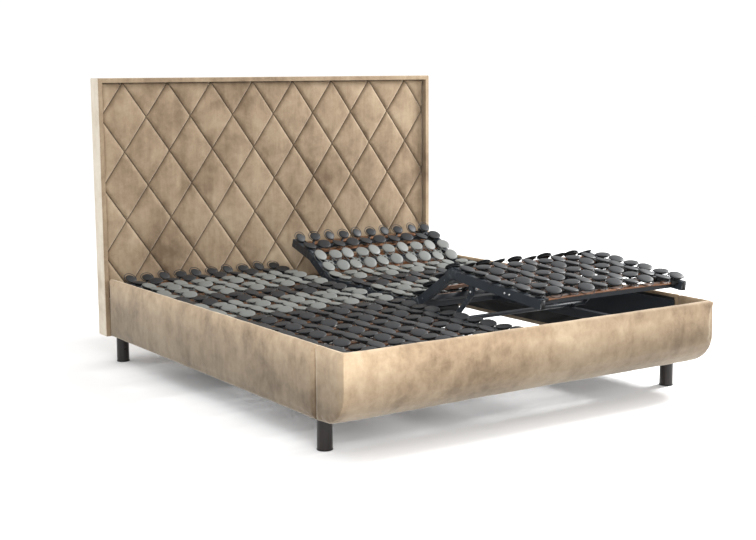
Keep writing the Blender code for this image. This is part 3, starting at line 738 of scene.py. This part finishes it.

# %% [markdown]
# ## Headboard surround
# The frame round the quilting is a flat board box with the velvet stretched tight, so it wants true
# flats and small even rounds, not swelling. The two outer sides get a paler copy of the velvet, which is
# painted light.

# %% Surround cover
# Painted light: a paler copy of the velvet for the two outer side faces.
SIDE_VELVET_PAINTED_LIGHT = velvet("side_velvet", (0.40, 0.33, 0.25), (0.58, 0.51, 0.41), (0.70, 0.64, 0.55))
surround_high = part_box("headboard_surround")[1]
cover = copy_of("headboard_surround", "headboard_cover")
work = bmesh.new()
work.from_mesh(cover.data)
bmesh.ops.dissolve_limit(work, angle_limit=math.radians(1), verts=work.verts, edges=work.edges)
rounded(work, 0.0035, 3)
bmesh.ops.triangulate(work, faces=[face for face in work.faces if len(face.verts) > 4])
work.to_mesh(cover.data)
work.free()
cover.data.materials.clear()
cover.data.materials.append(VELVET)
cover.data.materials.append(SIDE_VELVET_PAINTED_LIGHT)
# Painted light: the outer side faces take the paler velvet.
for face in cover.data.polygons:
    face.material_index = int(abs(face.center.x) > surround_high.x - 0.004
                              and abs(face.normal.x) > 0.6)
covers(cover, "headboard_surround")
flat_faces = [face.area < 2e-4 for face in cover.data.polygons]
cover.data.polygons.foreach_set("use_smooth", flat_faces)

# %% [markdown]
# ## Sprung plate modules
# The sleeping surface is not a row of boards but 110 plastic modules, each a hub clipped on a slat with
# four springy plates. One plate is a lens shape with a thin spring loop that hinges at its head edge;
# its neighbour has a zigzag spring instead. One module of each kind is drawn, and a Geometry Nodes tree
# sets it on every place along the slats.

# %% Plate, loop, zigzag and hub
PLATE_PITCH, PLATE_LEAD, PLATE_RADIUS = 0.0847, 0.0450, 0.0338
PLATE_TOP, SLAT_TOP = 0.3755, 0.3475
PLATE_RISE = [(0, -0.0185), (0.34, -0.0178), (0.62, -0.0150), (0.83, -0.0108), (0.96, -0.0065),
              (1.0, -0.0045), (0.99, -0.0032), (0.91, -0.0018), (0.58, -0.0004), (0, 0.0002)]
PLATE_PROFILE = [(share * PLATE_RADIUS, rise) for share, rise in PLATE_RISE]
PILLOW_PROFILE = [(0.78 * radius, rise) for radius, rise in PLATE_PROFILE]


def plate_place(x, y, lean):
    """A plate leans a few degrees, its foot edge lower than its head edge."""
    return (Matrix.Translation((x, y, PLATE_TOP))
            @ Matrix.Rotation(math.radians(lean[0]), 4, "X")
            @ Matrix.Rotation(math.radians(lean[1]), 4, "Y"))


def spring_loop(work, place, drop):
    """A thin ring hinged at the plate's head edge, drooping to the foot."""
    path = []
    for step in range(20):
        turn = 2 * math.pi * step / 20
        reach = 0.5 - 0.5 * math.sin(turn)
        path.append(place @ Vector((0.0350 * math.cos(turn), 0.0340 * math.sin(turn) - 0.002,
                                    -0.0040 - drop * reach)))
    rod(work, path, 0.0016, 5, 0.8, closed=True)


def zigzag(work, place, drop):
    """A V-shaped spring along the foot edge of a plate, on a half loop."""
    path, loop = [], []
    for step in range(11):
        turn = math.radians(-170 + step * 16)
        path.append(place @ Vector((0.0325 * math.cos(turn), 0.0325 * math.sin(turn),
                                    -0.006 if step % 2 else -0.006 - drop)))
        loop.append(place @ Vector((0.0345 * math.cos(turn), 0.0345 * math.sin(turn), -0.006 - drop)))
    rod(work, path, 0.0013, 4)
    rod(work, loop, 0.0016, 5)


def open_ring(work, place):
    """The open ring round a pillow plate, leaning a little behind the disc."""
    upright = place @ Matrix.Rotation(math.radians(12), 4, "X")
    path = [upright @ Vector((0.0305 * math.cos(turn), 0.0040 + 0.0290 * math.sin(turn), -0.0080))
            for turn in (2 * math.pi * step / 20 for step in range(20))]
    rod(work, path, 0.0020, 5, 0.8, closed=True)


def module_mesh(name, material, with_arms, head_lean=5.0):
    work = bmesh.new()
    for column, x in enumerate((-PLATE_PITCH / 2, PLATE_PITCH / 2)):
        for row, y in enumerate((-PLATE_LEAD, PLATE_LEAD)):
            rock = 6.0 if (row + column) % 2 else -5.0
            lean = ((head_lean if row else 7.0) + rock, -6.0 if column else 6.0)
            place = plate_place(x, y, lean)
            pillow = row and head_lean > 20
            if pillow:
                place = Matrix.Translation((0, 0, 0.004)) @ place
            lathe(work, PILLOW_PROFILE if pillow else PLATE_PROFILE, 20, place=place)
            if pillow:
                open_ring(work, place)
            elif (row + column) % 2:
                spring_loop(work, place, 0.019)
            else:
                zigzag(work, place, 0.011)
            inner = Vector((x * 0.25, y * 0.22, SLAT_TOP + 0.005))
            tip = Vector((x * 0.90, y * 0.88, PLATE_TOP - 0.0150))
            middle = inner.lerp(tip, 0.5) - Vector((0, 0, 0.0025))
            rod(work, [inner, middle, middle.lerp(tip, 0.6), tip], 0.0060, 6, 0.34)
        if with_arms:
            head, foot = PLATE_LEAD - 0.004, -PLATE_LEAD + 0.010
            edge = x - 0.0335
            rod(work, [(edge, head, PLATE_TOP - 0.001), (edge + 0.003, head * 0.55, PLATE_TOP - 0.003),
                       (edge + 0.010, 0.000, PLATE_TOP - 0.006),
                       (edge + 0.020, foot * 0.55, PLATE_TOP - 0.006),
                       (edge + 0.030, foot, PLATE_TOP - 0.004)], 0.0015, 5)
    lathe(work, [(0.0055, SLAT_TOP - 0.004), (0.0165, SLAT_TOP - 0.004), (0.0165, SLAT_TOP + 0.005),
                 (0.0135, SLAT_TOP + 0.0085), (0.0085, SLAT_TOP + 0.0085), (0.0055, SLAT_TOP + 0.0065),
                 (0.0055, SLAT_TOP - 0.004)], 14)
    for side in (-1, 1):
        rounded(work, 0.0012, 1, block(work, (-0.012, side * 0.022 - 0.012, SLAT_TOP - 0.0045),
                                       (0.012, side * 0.022 + 0.012, SLAT_TOP + 0.0015)))
    bmesh.ops.remove_doubles(work, verts=work.verts, dist=1e-6)
    outward(work)
    piece = made(name, work, material)
    # Painted shade: the downward faces of the plates above the slats are marked to be painted nearly
    # black.
    belly = piece.data.attributes.new("belly", "FLOAT", "POINT")
    belly.data.foreach_set("value", [float(min(1.0, max(0.0, -0.25 - 1.6 * vert.normal.z)))
                                     if vert.co.z > SLAT_TOP + 0.009 else 0.0
                                     for vert in piece.data.vertices])
    piece.hide_render = True
    return piece


DARK_MODULE = module_mesh("dark_module", PLASTIC, False)
PALE_MODULE = module_mesh("pale_module", PALE_PLASTIC, True)
PILLOW_MODULE = module_mesh("pillow_module", PLASTIC, False, 27.0)
print("one module:", len(DARK_MODULE.data.polygons), "faces")

# %% [markdown]
# The tree below is used for everything that repeats: it sets a part on each
# point, turned by the point's own "turn" and by a small seeded wobble, makes
# the copies real and gives them their finish.

# %% Geometry Nodes: a part on every point
def scatter_tree():
    tree = bpy.data.node_groups.new("part_on_points", "GeometryNodeTree")
    face = tree.interface
    kinds = (("Points", "Geometry"), ("Part", "Object"), ("Finish", "Material"),
             ("Wobble", "Float"), ("Seed", "Int"))
    sockets = {name: face.new_socket(name, in_out="INPUT", socket_type="NodeSocket" + kind)
               for name, kind in kinds}
    face.new_socket("Copies", in_out="OUTPUT", socket_type="NodeSocketGeometry")
    given = tree.nodes.new("NodeGroupInput")
    part = tree.nodes.new("GeometryNodeObjectInfo")
    turn = tree.nodes.new("GeometryNodeInputNamedAttribute")
    turn.data_type = "FLOAT_VECTOR"
    turn.inputs["Name"].default_value = "turn"
    random = tree.nodes.new("FunctionNodeRandomValue")
    random.data_type = "FLOAT_VECTOR"
    random.inputs[0].default_value = (-1, -1, -1)
    random.inputs[1].default_value = (1, 1, 1)
    wobble = tree.nodes.new("ShaderNodeVectorMath")
    wobble.operation = "SCALE"
    total = tree.nodes.new("ShaderNodeVectorMath")
    angle = tree.nodes.new("FunctionNodeEulerToRotation")
    copies = tree.nodes.new("GeometryNodeInstanceOnPoints")
    real = tree.nodes.new("GeometryNodeRealizeInstances")
    coat = tree.nodes.new("GeometryNodeSetMaterial")
    out = tree.nodes.new("NodeGroupOutput")
    link = tree.links.new
    link(given.outputs["Part"], part.inputs["Object"])
    link(given.outputs["Seed"], random.inputs["Seed"])
    link(random.outputs[0], wobble.inputs[0])
    link(given.outputs["Wobble"], wobble.inputs["Scale"])
    link(turn.outputs["Attribute"], total.inputs[0])
    link(wobble.outputs[0], total.inputs[1])
    link(total.outputs[0], angle.inputs[0])
    link(given.outputs["Points"], copies.inputs["Points"])
    link(part.outputs["Geometry"], copies.inputs["Instance"])
    link(angle.outputs[0], copies.inputs["Rotation"])
    link(copies.outputs[0], real.inputs[0])
    link(real.outputs[0], coat.inputs["Geometry"])
    link(given.outputs["Finish"], coat.inputs["Material"])
    link(coat.outputs[0], out.inputs[0])
    return tree, {name: socket.identifier for name, socket in sockets.items()}


SCATTER, SCATTER_INPUTS = scatter_tree()


def scattered(name, part, material, places, wobble=0.0, seed=1):
    """Copies of a part on (point, turn) places, as one plain mesh."""
    mesh = bpy.data.meshes.new(name)
    mesh.from_pydata([point for point, turn in places], [], [])
    turns = mesh.attributes.new("turn", "FLOAT_VECTOR", "POINT")
    turns.data.foreach_set("vector", [value for point, turn in places for value in turn])
    piece = bpy.data.objects.new(name, mesh)
    bpy.context.scene.collection.objects.link(piece)
    nodes = piece.modifiers.new("copies", "NODES")
    nodes.node_group = SCATTER
    for key, value in (("Part", part), ("Finish", material), ("Wobble", wobble), ("Seed", seed)):
        nodes[SCATTER_INPUTS[key]] = value
    baked(piece)
    return piece


def onto(piece, hand, section, slot, *replaced):
    """Lifts a flat piece to its section's resting place and lets it ride."""
    piece.data.transform(lifted(hand, section))
    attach(piece, body_of(hand, section))
    if replaced:
        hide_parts(*replaced)
    return piece


def row_y(row):
    return DECK_FOOT + (row + 0.5) * ROW_PITCH


print("tree inputs:", list(SCATTER_INPUTS))


# %% Set the modules on the slats
PALE_ROWS = (5, 6, 8, 9)
for hand in HANDS:
    for section in SECTIONS:
        for pale in (False, True):
            rows = [row for row in ROWS[section] if (row in PALE_ROWS) == pale]
            if not rows:
                continue
            places = [(Vector((MIDDLE[hand] + (column - 2) * 2 * PLATE_PITCH, row_y(row), 0)), (0, 0, 0))
                      for row in rows for column in range(5)]
            tone = "pale" if pale else "dark"
            part = PALE_MODULE if pale else PILLOW_MODULE if section == "neck" else DARK_MODULE
            plates = scattered(f"{hand}_{section}_{tone}_modules", part,
                               PALE_PLASTIC if pale else PLASTIC, places, 0.022, 5 + rows[0])
            plates.data.polygons.foreach_set("use_smooth", [True] * len(plates.data.polygons))
            onto(plates, hand, section, "pale_plastic" if pale else "plastic",
                 f"{hand}_{section}_plates")
print("modules set on", len(HANDS) * sum(len(rows) for rows in ROWS.values()), "rows")

# %% [markdown]
# ## Bent laminated slats
# A slat is glued up from thin plies in a curved press, so it arches and has
# striped edges. This tree draws one: a line is resampled, lifted into an
# arch, swept with a round-edged section and copied to each row. Every point
# keeps its place on the slat as "local", so grain follows the arch.

# %% Geometry Nodes: arched slats
def slat_tree():
    tree = bpy.data.node_groups.new("arched_slats", "GeometryNodeTree")
    face = tree.interface
    kinds = (("Rows", "Geometry", None), ("Length", "Float", 0.735), ("Width", "Float", 0.052),
             ("Thickness", "Float", 0.008), ("Arch", "Float", 0.006), ("Finish", "Material", None))
    sockets = {}
    for name, kind, value in kinds:
        sockets[name] = face.new_socket(name, in_out="INPUT", socket_type="NodeSocket" + kind)
        if value is not None:
            sockets[name].default_value = value
    face.new_socket("Slats", in_out="OUTPUT", socket_type="NodeSocketGeometry")
    link = tree.links.new

    def node(kind, **settings):
        item = tree.nodes.new(kind)
        for key, value in settings.items():
            setattr(item, key, value)
        return item

    def maths(operation, first, second=None):
        item = node("ShaderNodeMath", operation=operation)
        for socket, value in zip(item.inputs, (first, second)):
            if isinstance(value, (int, float)):
                socket.default_value = value
            elif value is not None:
                link(value, socket)
        return item.outputs[0]

    given = node("NodeGroupInput")
    half = maths("MULTIPLY", given.outputs["Length"], 0.5)
    ends = [node("ShaderNodeCombineXYZ") for _ in range(2)]
    link(maths("MULTIPLY", half, -1.0), ends[0].inputs["X"])
    link(half, ends[1].inputs["X"])
    line = node("GeometryNodeCurvePrimitiveLine")
    link(ends[0].outputs[0], line.inputs["Start"])
    link(ends[1].outputs[0], line.inputs["End"])
    fine = node("GeometryNodeResampleCurve")
    fine.inputs["Count"].default_value = 24
    link(line.outputs[0], fine.inputs["Curve"])
    spot = node("ShaderNodeSeparateXYZ")
    link(node("GeometryNodeInputPosition").outputs[0], spot.inputs[0])
    share = maths("DIVIDE", spot.outputs["X"], half)
    rise = maths("MULTIPLY", maths("SUBTRACT", 1.0, maths("MULTIPLY", share, share)),
                 given.outputs["Arch"])
    lift = node("ShaderNodeCombineXYZ")
    link(rise, lift.inputs["Z"])
    arch = node("GeometryNodeSetPosition")
    link(fine.outputs[0], arch.inputs["Geometry"])
    link(lift.outputs[0], arch.inputs["Offset"])
    section = node("GeometryNodeCurvePrimitiveQuadrilateral")
    link(given.outputs["Width"], section.inputs["Width"])
    link(given.outputs["Thickness"], section.inputs["Height"])
    round_off = node("GeometryNodeFilletCurve", mode="POLY")
    round_off.inputs["Count"].default_value = 3
    round_off.inputs["Radius"].default_value = 0.0026
    link(section.outputs[0], round_off.inputs["Curve"])
    sweep = node("GeometryNodeCurveToMesh")
    sweep.inputs["Fill Caps"].default_value = True
    link(arch.outputs[0], sweep.inputs["Curve"])
    link(round_off.outputs[0], sweep.inputs["Profile Curve"])
    keep = node("GeometryNodeStoreNamedAttribute", data_type="FLOAT_VECTOR")
    keep.inputs["Name"].default_value = "local"
    flat = node("ShaderNodeVectorMath", operation="SUBTRACT")
    link(node("GeometryNodeInputPosition").outputs[0], flat.inputs[0])
    link(lift.outputs[0], flat.inputs[1])
    link(sweep.outputs[0], keep.inputs["Geometry"])
    link(flat.outputs[0], keep.inputs["Value"])
    copies = node("GeometryNodeInstanceOnPoints")
    real = node("GeometryNodeRealizeInstances")
    coat = node("GeometryNodeSetMaterial")
    out = node("NodeGroupOutput")
    link(given.outputs["Rows"], copies.inputs["Points"])
    link(keep.outputs[0], copies.inputs["Instance"])
    link(copies.outputs[0], real.inputs[0])
    link(real.outputs[0], coat.inputs["Geometry"])
    link(given.outputs["Finish"], coat.inputs["Material"])
    link(coat.outputs[0], out.inputs[0])
    return tree, {name: socket.identifier for name, socket in sockets.items()}


SLATS, SLAT_INPUTS = slat_tree()
SLAT_BASE, SLAT_SPREAD = 0.3400, 0.0475
for hand in HANDS:
    for section in SECTIONS:
        name = f"{hand}_{section}_bent_slats"
        mesh = bpy.data.meshes.new(name)
        mesh.from_pydata([(MIDDLE[hand], row_y(row) + side * SLAT_SPREAD, SLAT_BASE)
                          for row in ROWS[section] for side in (-1, 1)], [], [])
        slats = bpy.data.objects.new(name, mesh)
        bpy.context.scene.collection.objects.link(slats)
        nodes = slats.modifiers.new("slats", "NODES")
        nodes.node_group = SLATS
        for key, value in (("Length", 0.740), ("Width", 0.034), ("Thickness", 0.0085),
                           ("Arch", 0.005), ("Finish", BEECH)):
            nodes[SLAT_INPUTS[key]] = value
        baked(slats)
        onto(slats, hand, section, "beech", f"{hand}_{section}_slats")
print("one rack of slats:", len(slats.data.polygons), "faces")

# %% [markdown]
# ## Slat holders
# Each slat end sits in a rubber pocket pinned on top of the side tube. The
# pocket is softer and blacker than the frame, with a lip above the slat.

# %% Holder pockets
HOLDER_X = 0.3700


def holder_part():
    work = bmesh.new()
    rounded(work, 0.003, 2, block(work, (-0.030, -0.022, 0.3325), (0.012, 0.022, 0.3375)))
    rounded(work, 0.0035, 2, block(work, (0.002, -0.023, 0.3335), (0.0165, 0.023, 0.3535)))
    rounded(work, 0.0016, 2, block(work, (-0.022, -0.022, 0.3465), (0.008, 0.022, 0.3500)))
    for side in (-1, 1):
        rounded(work, 0.0015, 1, block(work, (-0.024, side * 0.0205 - 0.0025, 0.334),
                                       (0.010, side * 0.0205 + 0.0025, 0.3495)))
        lathe(work, [(0, 0.3498), (0.0052, 0.3498), (0.0046, 0.3560), (0, 0.3568)], 12,
              centre=(0.008, side * 0.011, 0))
    outward(work)
    piece = made("holder_part", work, RUBBER)
    piece.hide_render = True
    return piece


HOLDER = holder_part()
for hand in HANDS:
    for section in SECTIONS:
        places = [(Vector((MIDDLE[hand] + side * (HOLDER_X - 0.003),
                           row_y(row) + pair * SLAT_SPREAD, 0)),
                   (0, 0, 0 if side > 0 else math.pi))
                  for row in ROWS[section] for side in (-1, 1) for pair in (-1, 1)]
        holders = scattered(f"{hand}_{section}_holders", HOLDER, RUBBER, places)
        onto(holders, hand, section, "plastic")
print("holder pockets:", 2 * 2 * 2 * 11)
for part in (DARK_MODULE, PALE_MODULE, PILLOW_MODULE, HOLDER):
    bpy.data.objects.remove(part)

# %% [markdown]
# ## Hinge sleeves
# At each hinge a ribbed steel-grey sleeve covers the gap between two side tubes.
# It is swept from one tube end to the other, turning a little more at every rib.

# %% Ribbed sleeves over the hinges
TUBE_INNER, TUBE_OUTER, TUBE_LOW = 0.380, 0.405, 0.312
HINGES = {"calf": ("calf", "thigh"), "thigh": ("thigh", "seat"), "back": ("seat", "back"),
          "shoulder": ("back", "shoulder"), "neck": ("shoulder", "neck")}


def tube_ring(grow):
    """Rounded box section a little outside the tube; x is across, z is up."""
    corner = 0.004
    low, high = (TUBE_INNER - grow, TUBE_LOW - 0.3 * grow), (TUBE_OUTER + grow, HINGE_Z + grow)
    ring = []
    for x, z, start in ((high[0] - corner, high[1] - corner, 0),
                        (low[0] + corner, high[1] - corner, 90),
                        (low[0] + corner, low[1] + corner, 180),
                        (high[0] - corner, low[1] + corner, 270)):
        ring += [(x + corner * math.cos(math.radians(start + step)),
                  z + corner * math.sin(math.radians(start + step))) for step in (0, 45, 90)]
    return ring


def hinge_sleeve(hand, joint, reach, ribs):
    foot_key, head_key = HINGES[joint]
    axis_y = FLAT_Y[joint]
    slopes = [0.0 if key == "seat" else slope_of(f"{hand}_{key}_plates") for key in (foot_key, head_key)]
    rest = ANCHORS[f"{hand}_{joint}_hinge"]
    work = bmesh.new()
    for side in (-1, 1):
        rings = []
        for step in range(2 * ribs + 1):
            share = step / (2 * ribs)
            along = reach * (2 * share - 1)
            eased = min(1.0, max(0.0, 3 * share - 1))
            turn = Matrix.Rotation(slopes[0] + (slopes[1] - slopes[0]) * eased, 3, "X")
            grow = 0.0009 if step in (0, 2 * ribs) else (0.0026 if step % 2 else 0.0012)
            rings.append([rest + Vector((side * x, 0, 0)) + turn @ Vector((0, along, z - HINGE_Z))
                          for x, z in tube_ring(grow)])
        skin(work, rings, caps=True)
    outward(work)
    piece = made(f"{hand}_{joint}_sleeve", work, STEEL)
    ends = [lifted(hand, key) @ Vector((MIDDLE[hand], axis_y + side * reach, HINGE_Z))
            for key, side in ((foot_key, -1), (head_key, 1))]
    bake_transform(piece)


for hand in HANDS:
    for joint in HINGES:
        hinge_sleeve(hand, joint, 0.040 if joint == "calf" else 0.034, 7 if joint == "calf" else 5)
print("sleeves:", 2 * len(HINGES))

# %% [markdown]
# ## Bolts, pins and end plugs
# Small bolt heads tell the eye how large the frame is. One domed bolt and
# one plastic plug are drawn, and the same tree copies them: bolts on the
# outer faces of the tubes, plugs in the open tube ends.

# %% Bolts and end plugs
def bolt_part():
    work = bmesh.new()
    lathe(work, [(0, 0), (0.0056, 0), (0.0056, 0.0008), (0.0043, 0.0011), (0.0042, 0.0026),
                 (0.0033, 0.0034), (0.0017, 0.0037), (0.0015, 0.0026), (0, 0.0025)], 12)
    outward(work)
    piece = made("bolt_part", work, BRIGHT)
    piece.hide_render = True
    return piece


def plug_part():
    work = bmesh.new()
    rounded(work, 0.0035, 2, block(work, (-0.0120, -0.0045, -0.0195), (0.0120, 0.0, 0.0195)))
    rounded(work, 0.0008, 1, block(work, (-0.0100, 0.0, -0.0170), (0.0100, 0.0120, 0.0170)))
    outward(work)
    piece = made("plug_part", work, PLASTIC)
    piece.hide_render = True
    return piece


BOLT, PLUG = bolt_part(), plug_part()
TUBE_MIDDLE = (TUBE_INNER + TUBE_OUTER) / 2
BOLT_YS = {"calf": (-0.839, -0.809), "thigh": (-0.380, -0.190), "seat": (-0.055, 0.175),
           "back": (0.300, 0.545), "shoulder": (0.655, 0.740), "neck": (0.850, 0.930)}
for hand in HANDS:
    for section in SECTIONS:
        places = [(Vector((MIDDLE[hand] + side * TUBE_OUTER, y, 0.330)), (0, side * math.pi / 2, 0))
                  for y in BOLT_YS[section] for side in (-1, 1)]
        bolts = scattered(f"{hand}_{section}_bolts", BOLT,
                          BRIGHT if section == "calf" else STEEL, places)
        onto(bolts, hand, section, "steel")
    foot_y = DECK_FOOT
    head_y = DECK_FOOT + 11 * ROW_PITCH
    for section, y, turn in (("calf", foot_y, 0.0), ("neck", head_y, math.pi)):
        places = [(Vector((MIDDLE[hand] + side * TUBE_MIDDLE, y, 0.332)), (0, 0, turn))
                  for side in (-1, 1)]
        plugs = scattered(f"{hand}_{section}_plugs", PLUG, PLASTIC, places)
        onto(plugs, hand, section, "plastic")
print("bolts and plugs set")

# %% [markdown]
# ## Knee struts
# The strut that props the knee is a pressed channel. Its ribs stiffen it, and
# a zinc bolt shows at its upper pin. The dressing rides on the strut and is
# built along the line from the cross shaft to the pin.

# %% Strut dressing
STRUT_PIN = (0.1365, 0.068)
STRUT_X, PIN_X = 0.3795, 0.3995
CHANNEL, RIB, RIBS = (0.0062, 0.0094), (0.0070, 0.0100, 0.0032), 7
for hand in HANDS:
    foot = ANCHORS[f"{hand}_strut_hinge"]
    pin = lifted(hand, "calf") @ Vector((MIDDLE[hand], KNEE_Y - STRUT_PIN[0], HINGE_Z - STRUT_PIN[1]))
    along = (pin - foot)
    length = along.length
    frame_turn = Matrix((Vector((1, 0, 0)), Vector((1, 0, 0)).cross(along.normalized()) * -1,
                         along.normalized())).transposed()
    if frame_turn.determinant() < 0:
        frame_turn.col[1] *= -1
    place = Matrix.Translation(foot) @ frame_turn.to_4x4()
    work = bmesh.new()
    for side in (-1, 1):
        x = side * STRUT_X
        rounded(work, 0.0022, 2, block(work, (x - CHANNEL[0], -CHANNEL[1], 0.016),
                                       (x + CHANNEL[0], CHANNEL[1], length - 0.014), place))
        for rib in range(RIBS):
            z = 0.034 + rib * (length - 0.066) / (RIBS - 1)
            rounded(work, 0.0014, 1, block(work, (x - RIB[0], -RIB[1], z - RIB[2]),
                                           (x + RIB[0], RIB[1], z + RIB[2]), place))
    outward(work)
    dressing = made(f"{hand}_strut_channel", work, STEEL)
    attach(dressing, f"{hand}_strut")
    pins = [(Vector((MIDDLE[hand] + side * PIN_X, KNEE_Y - STRUT_PIN[0], HINGE_Z - STRUT_PIN[1])),
             (0, side * math.pi / 2, 0)) for side in (-1, 1)]
    pins += [(Vector((MIDDLE[hand] + side * PIN_X, KNEE_Y - STRUT_PIN[0] + 0.006, TUBE_LOW + 0.008)),
              (0, side * math.pi / 2, 0)) for side in (-1, 1)]
    onto(scattered(f"{hand}_strut_bolts", BOLT, BRIGHT, pins), hand, "calf", "steel")
print("strut channel length", round(length, 4))
for part in (BOLT, PLUG):
    bpy.data.objects.remove(part)

# %% [markdown]
# ## Black lining
# Inside the rails the velvet folds over the top board and stops; below it a
# thin black lining is stapled, down to a velvet hem. The lining is one layer
# of cloth, pulled flat but never quite even.

# %% Rail linings
LINING_LOW, LINING_HIGH = 0.142, 0.384
for hand, side in HANDS.items():
    low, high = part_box(f"{hand}_side_rail")
    inner_x = (high.x if side < 0 else low.x) - side * 0.0016
    ledge_low, ledge_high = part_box(f"{hand}_side_ledge")
    start_y, end_y = ledge_low.y + 0.002, ledge_high.y - 0.004
    work = bmesh.new()
    skin(work, [[Vector((inner_x - side * 0.0016 * noise.noise(Vector((y * 5, z * 9, side))),
                         y, z)) for z in np.linspace(LINING_LOW, LINING_HIGH, 14)]
                for y in np.linspace(start_y, end_y, 90)], closed=False)
    lining = made(f"{hand}_rail_lining", work, LINING)
    if (lining.data.polygons[0].normal.x > 0) == (side > 0):
        lining.data.flip_normals()
    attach(lining, "surround")
print("linings", round(end_y - start_y, 3), "m long")

# %% [markdown]
# ## Leg collars and glides
# A turned leg ends in a felt glide and meets the bed at a thin collar. Both
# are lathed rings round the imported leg.

# %% Collars and glides
LEG_TOP = 0.122
for name in [key for key in NODES if key.endswith("_leg")]:
    low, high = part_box(name)
    work = bmesh.new()
    centre = ((low.x + high.x) / 2, (low.y + high.y) / 2, 0)
    radius = (high.x - low.x) / 2
    lathe(work, [(radius - 0.003, LEG_TOP - 0.0045), (radius + 0.0035, LEG_TOP - 0.0045),
                 (radius + 0.0045, LEG_TOP - 0.0030), (radius + 0.0045, LEG_TOP - 0.0004),
                 (radius - 0.003, LEG_TOP - 0.0004), (radius - 0.003, LEG_TOP - 0.0045)], 32, centre)
    lathe(work, [(radius - 0.003, 0.0004), (radius + 0.0012, 0.0004), (radius + 0.0012, 0.0034),
                 (radius - 0.003, 0.0040), (radius - 0.003, 0.0004)], 32, centre)
    bmesh.ops.remove_doubles(work, verts=work.verts, dist=1e-6)
    outward(work)
    collar = made(f"{name}_collar", work, RUBBER)
    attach(collar, "surround")
print("collars on the corner legs")
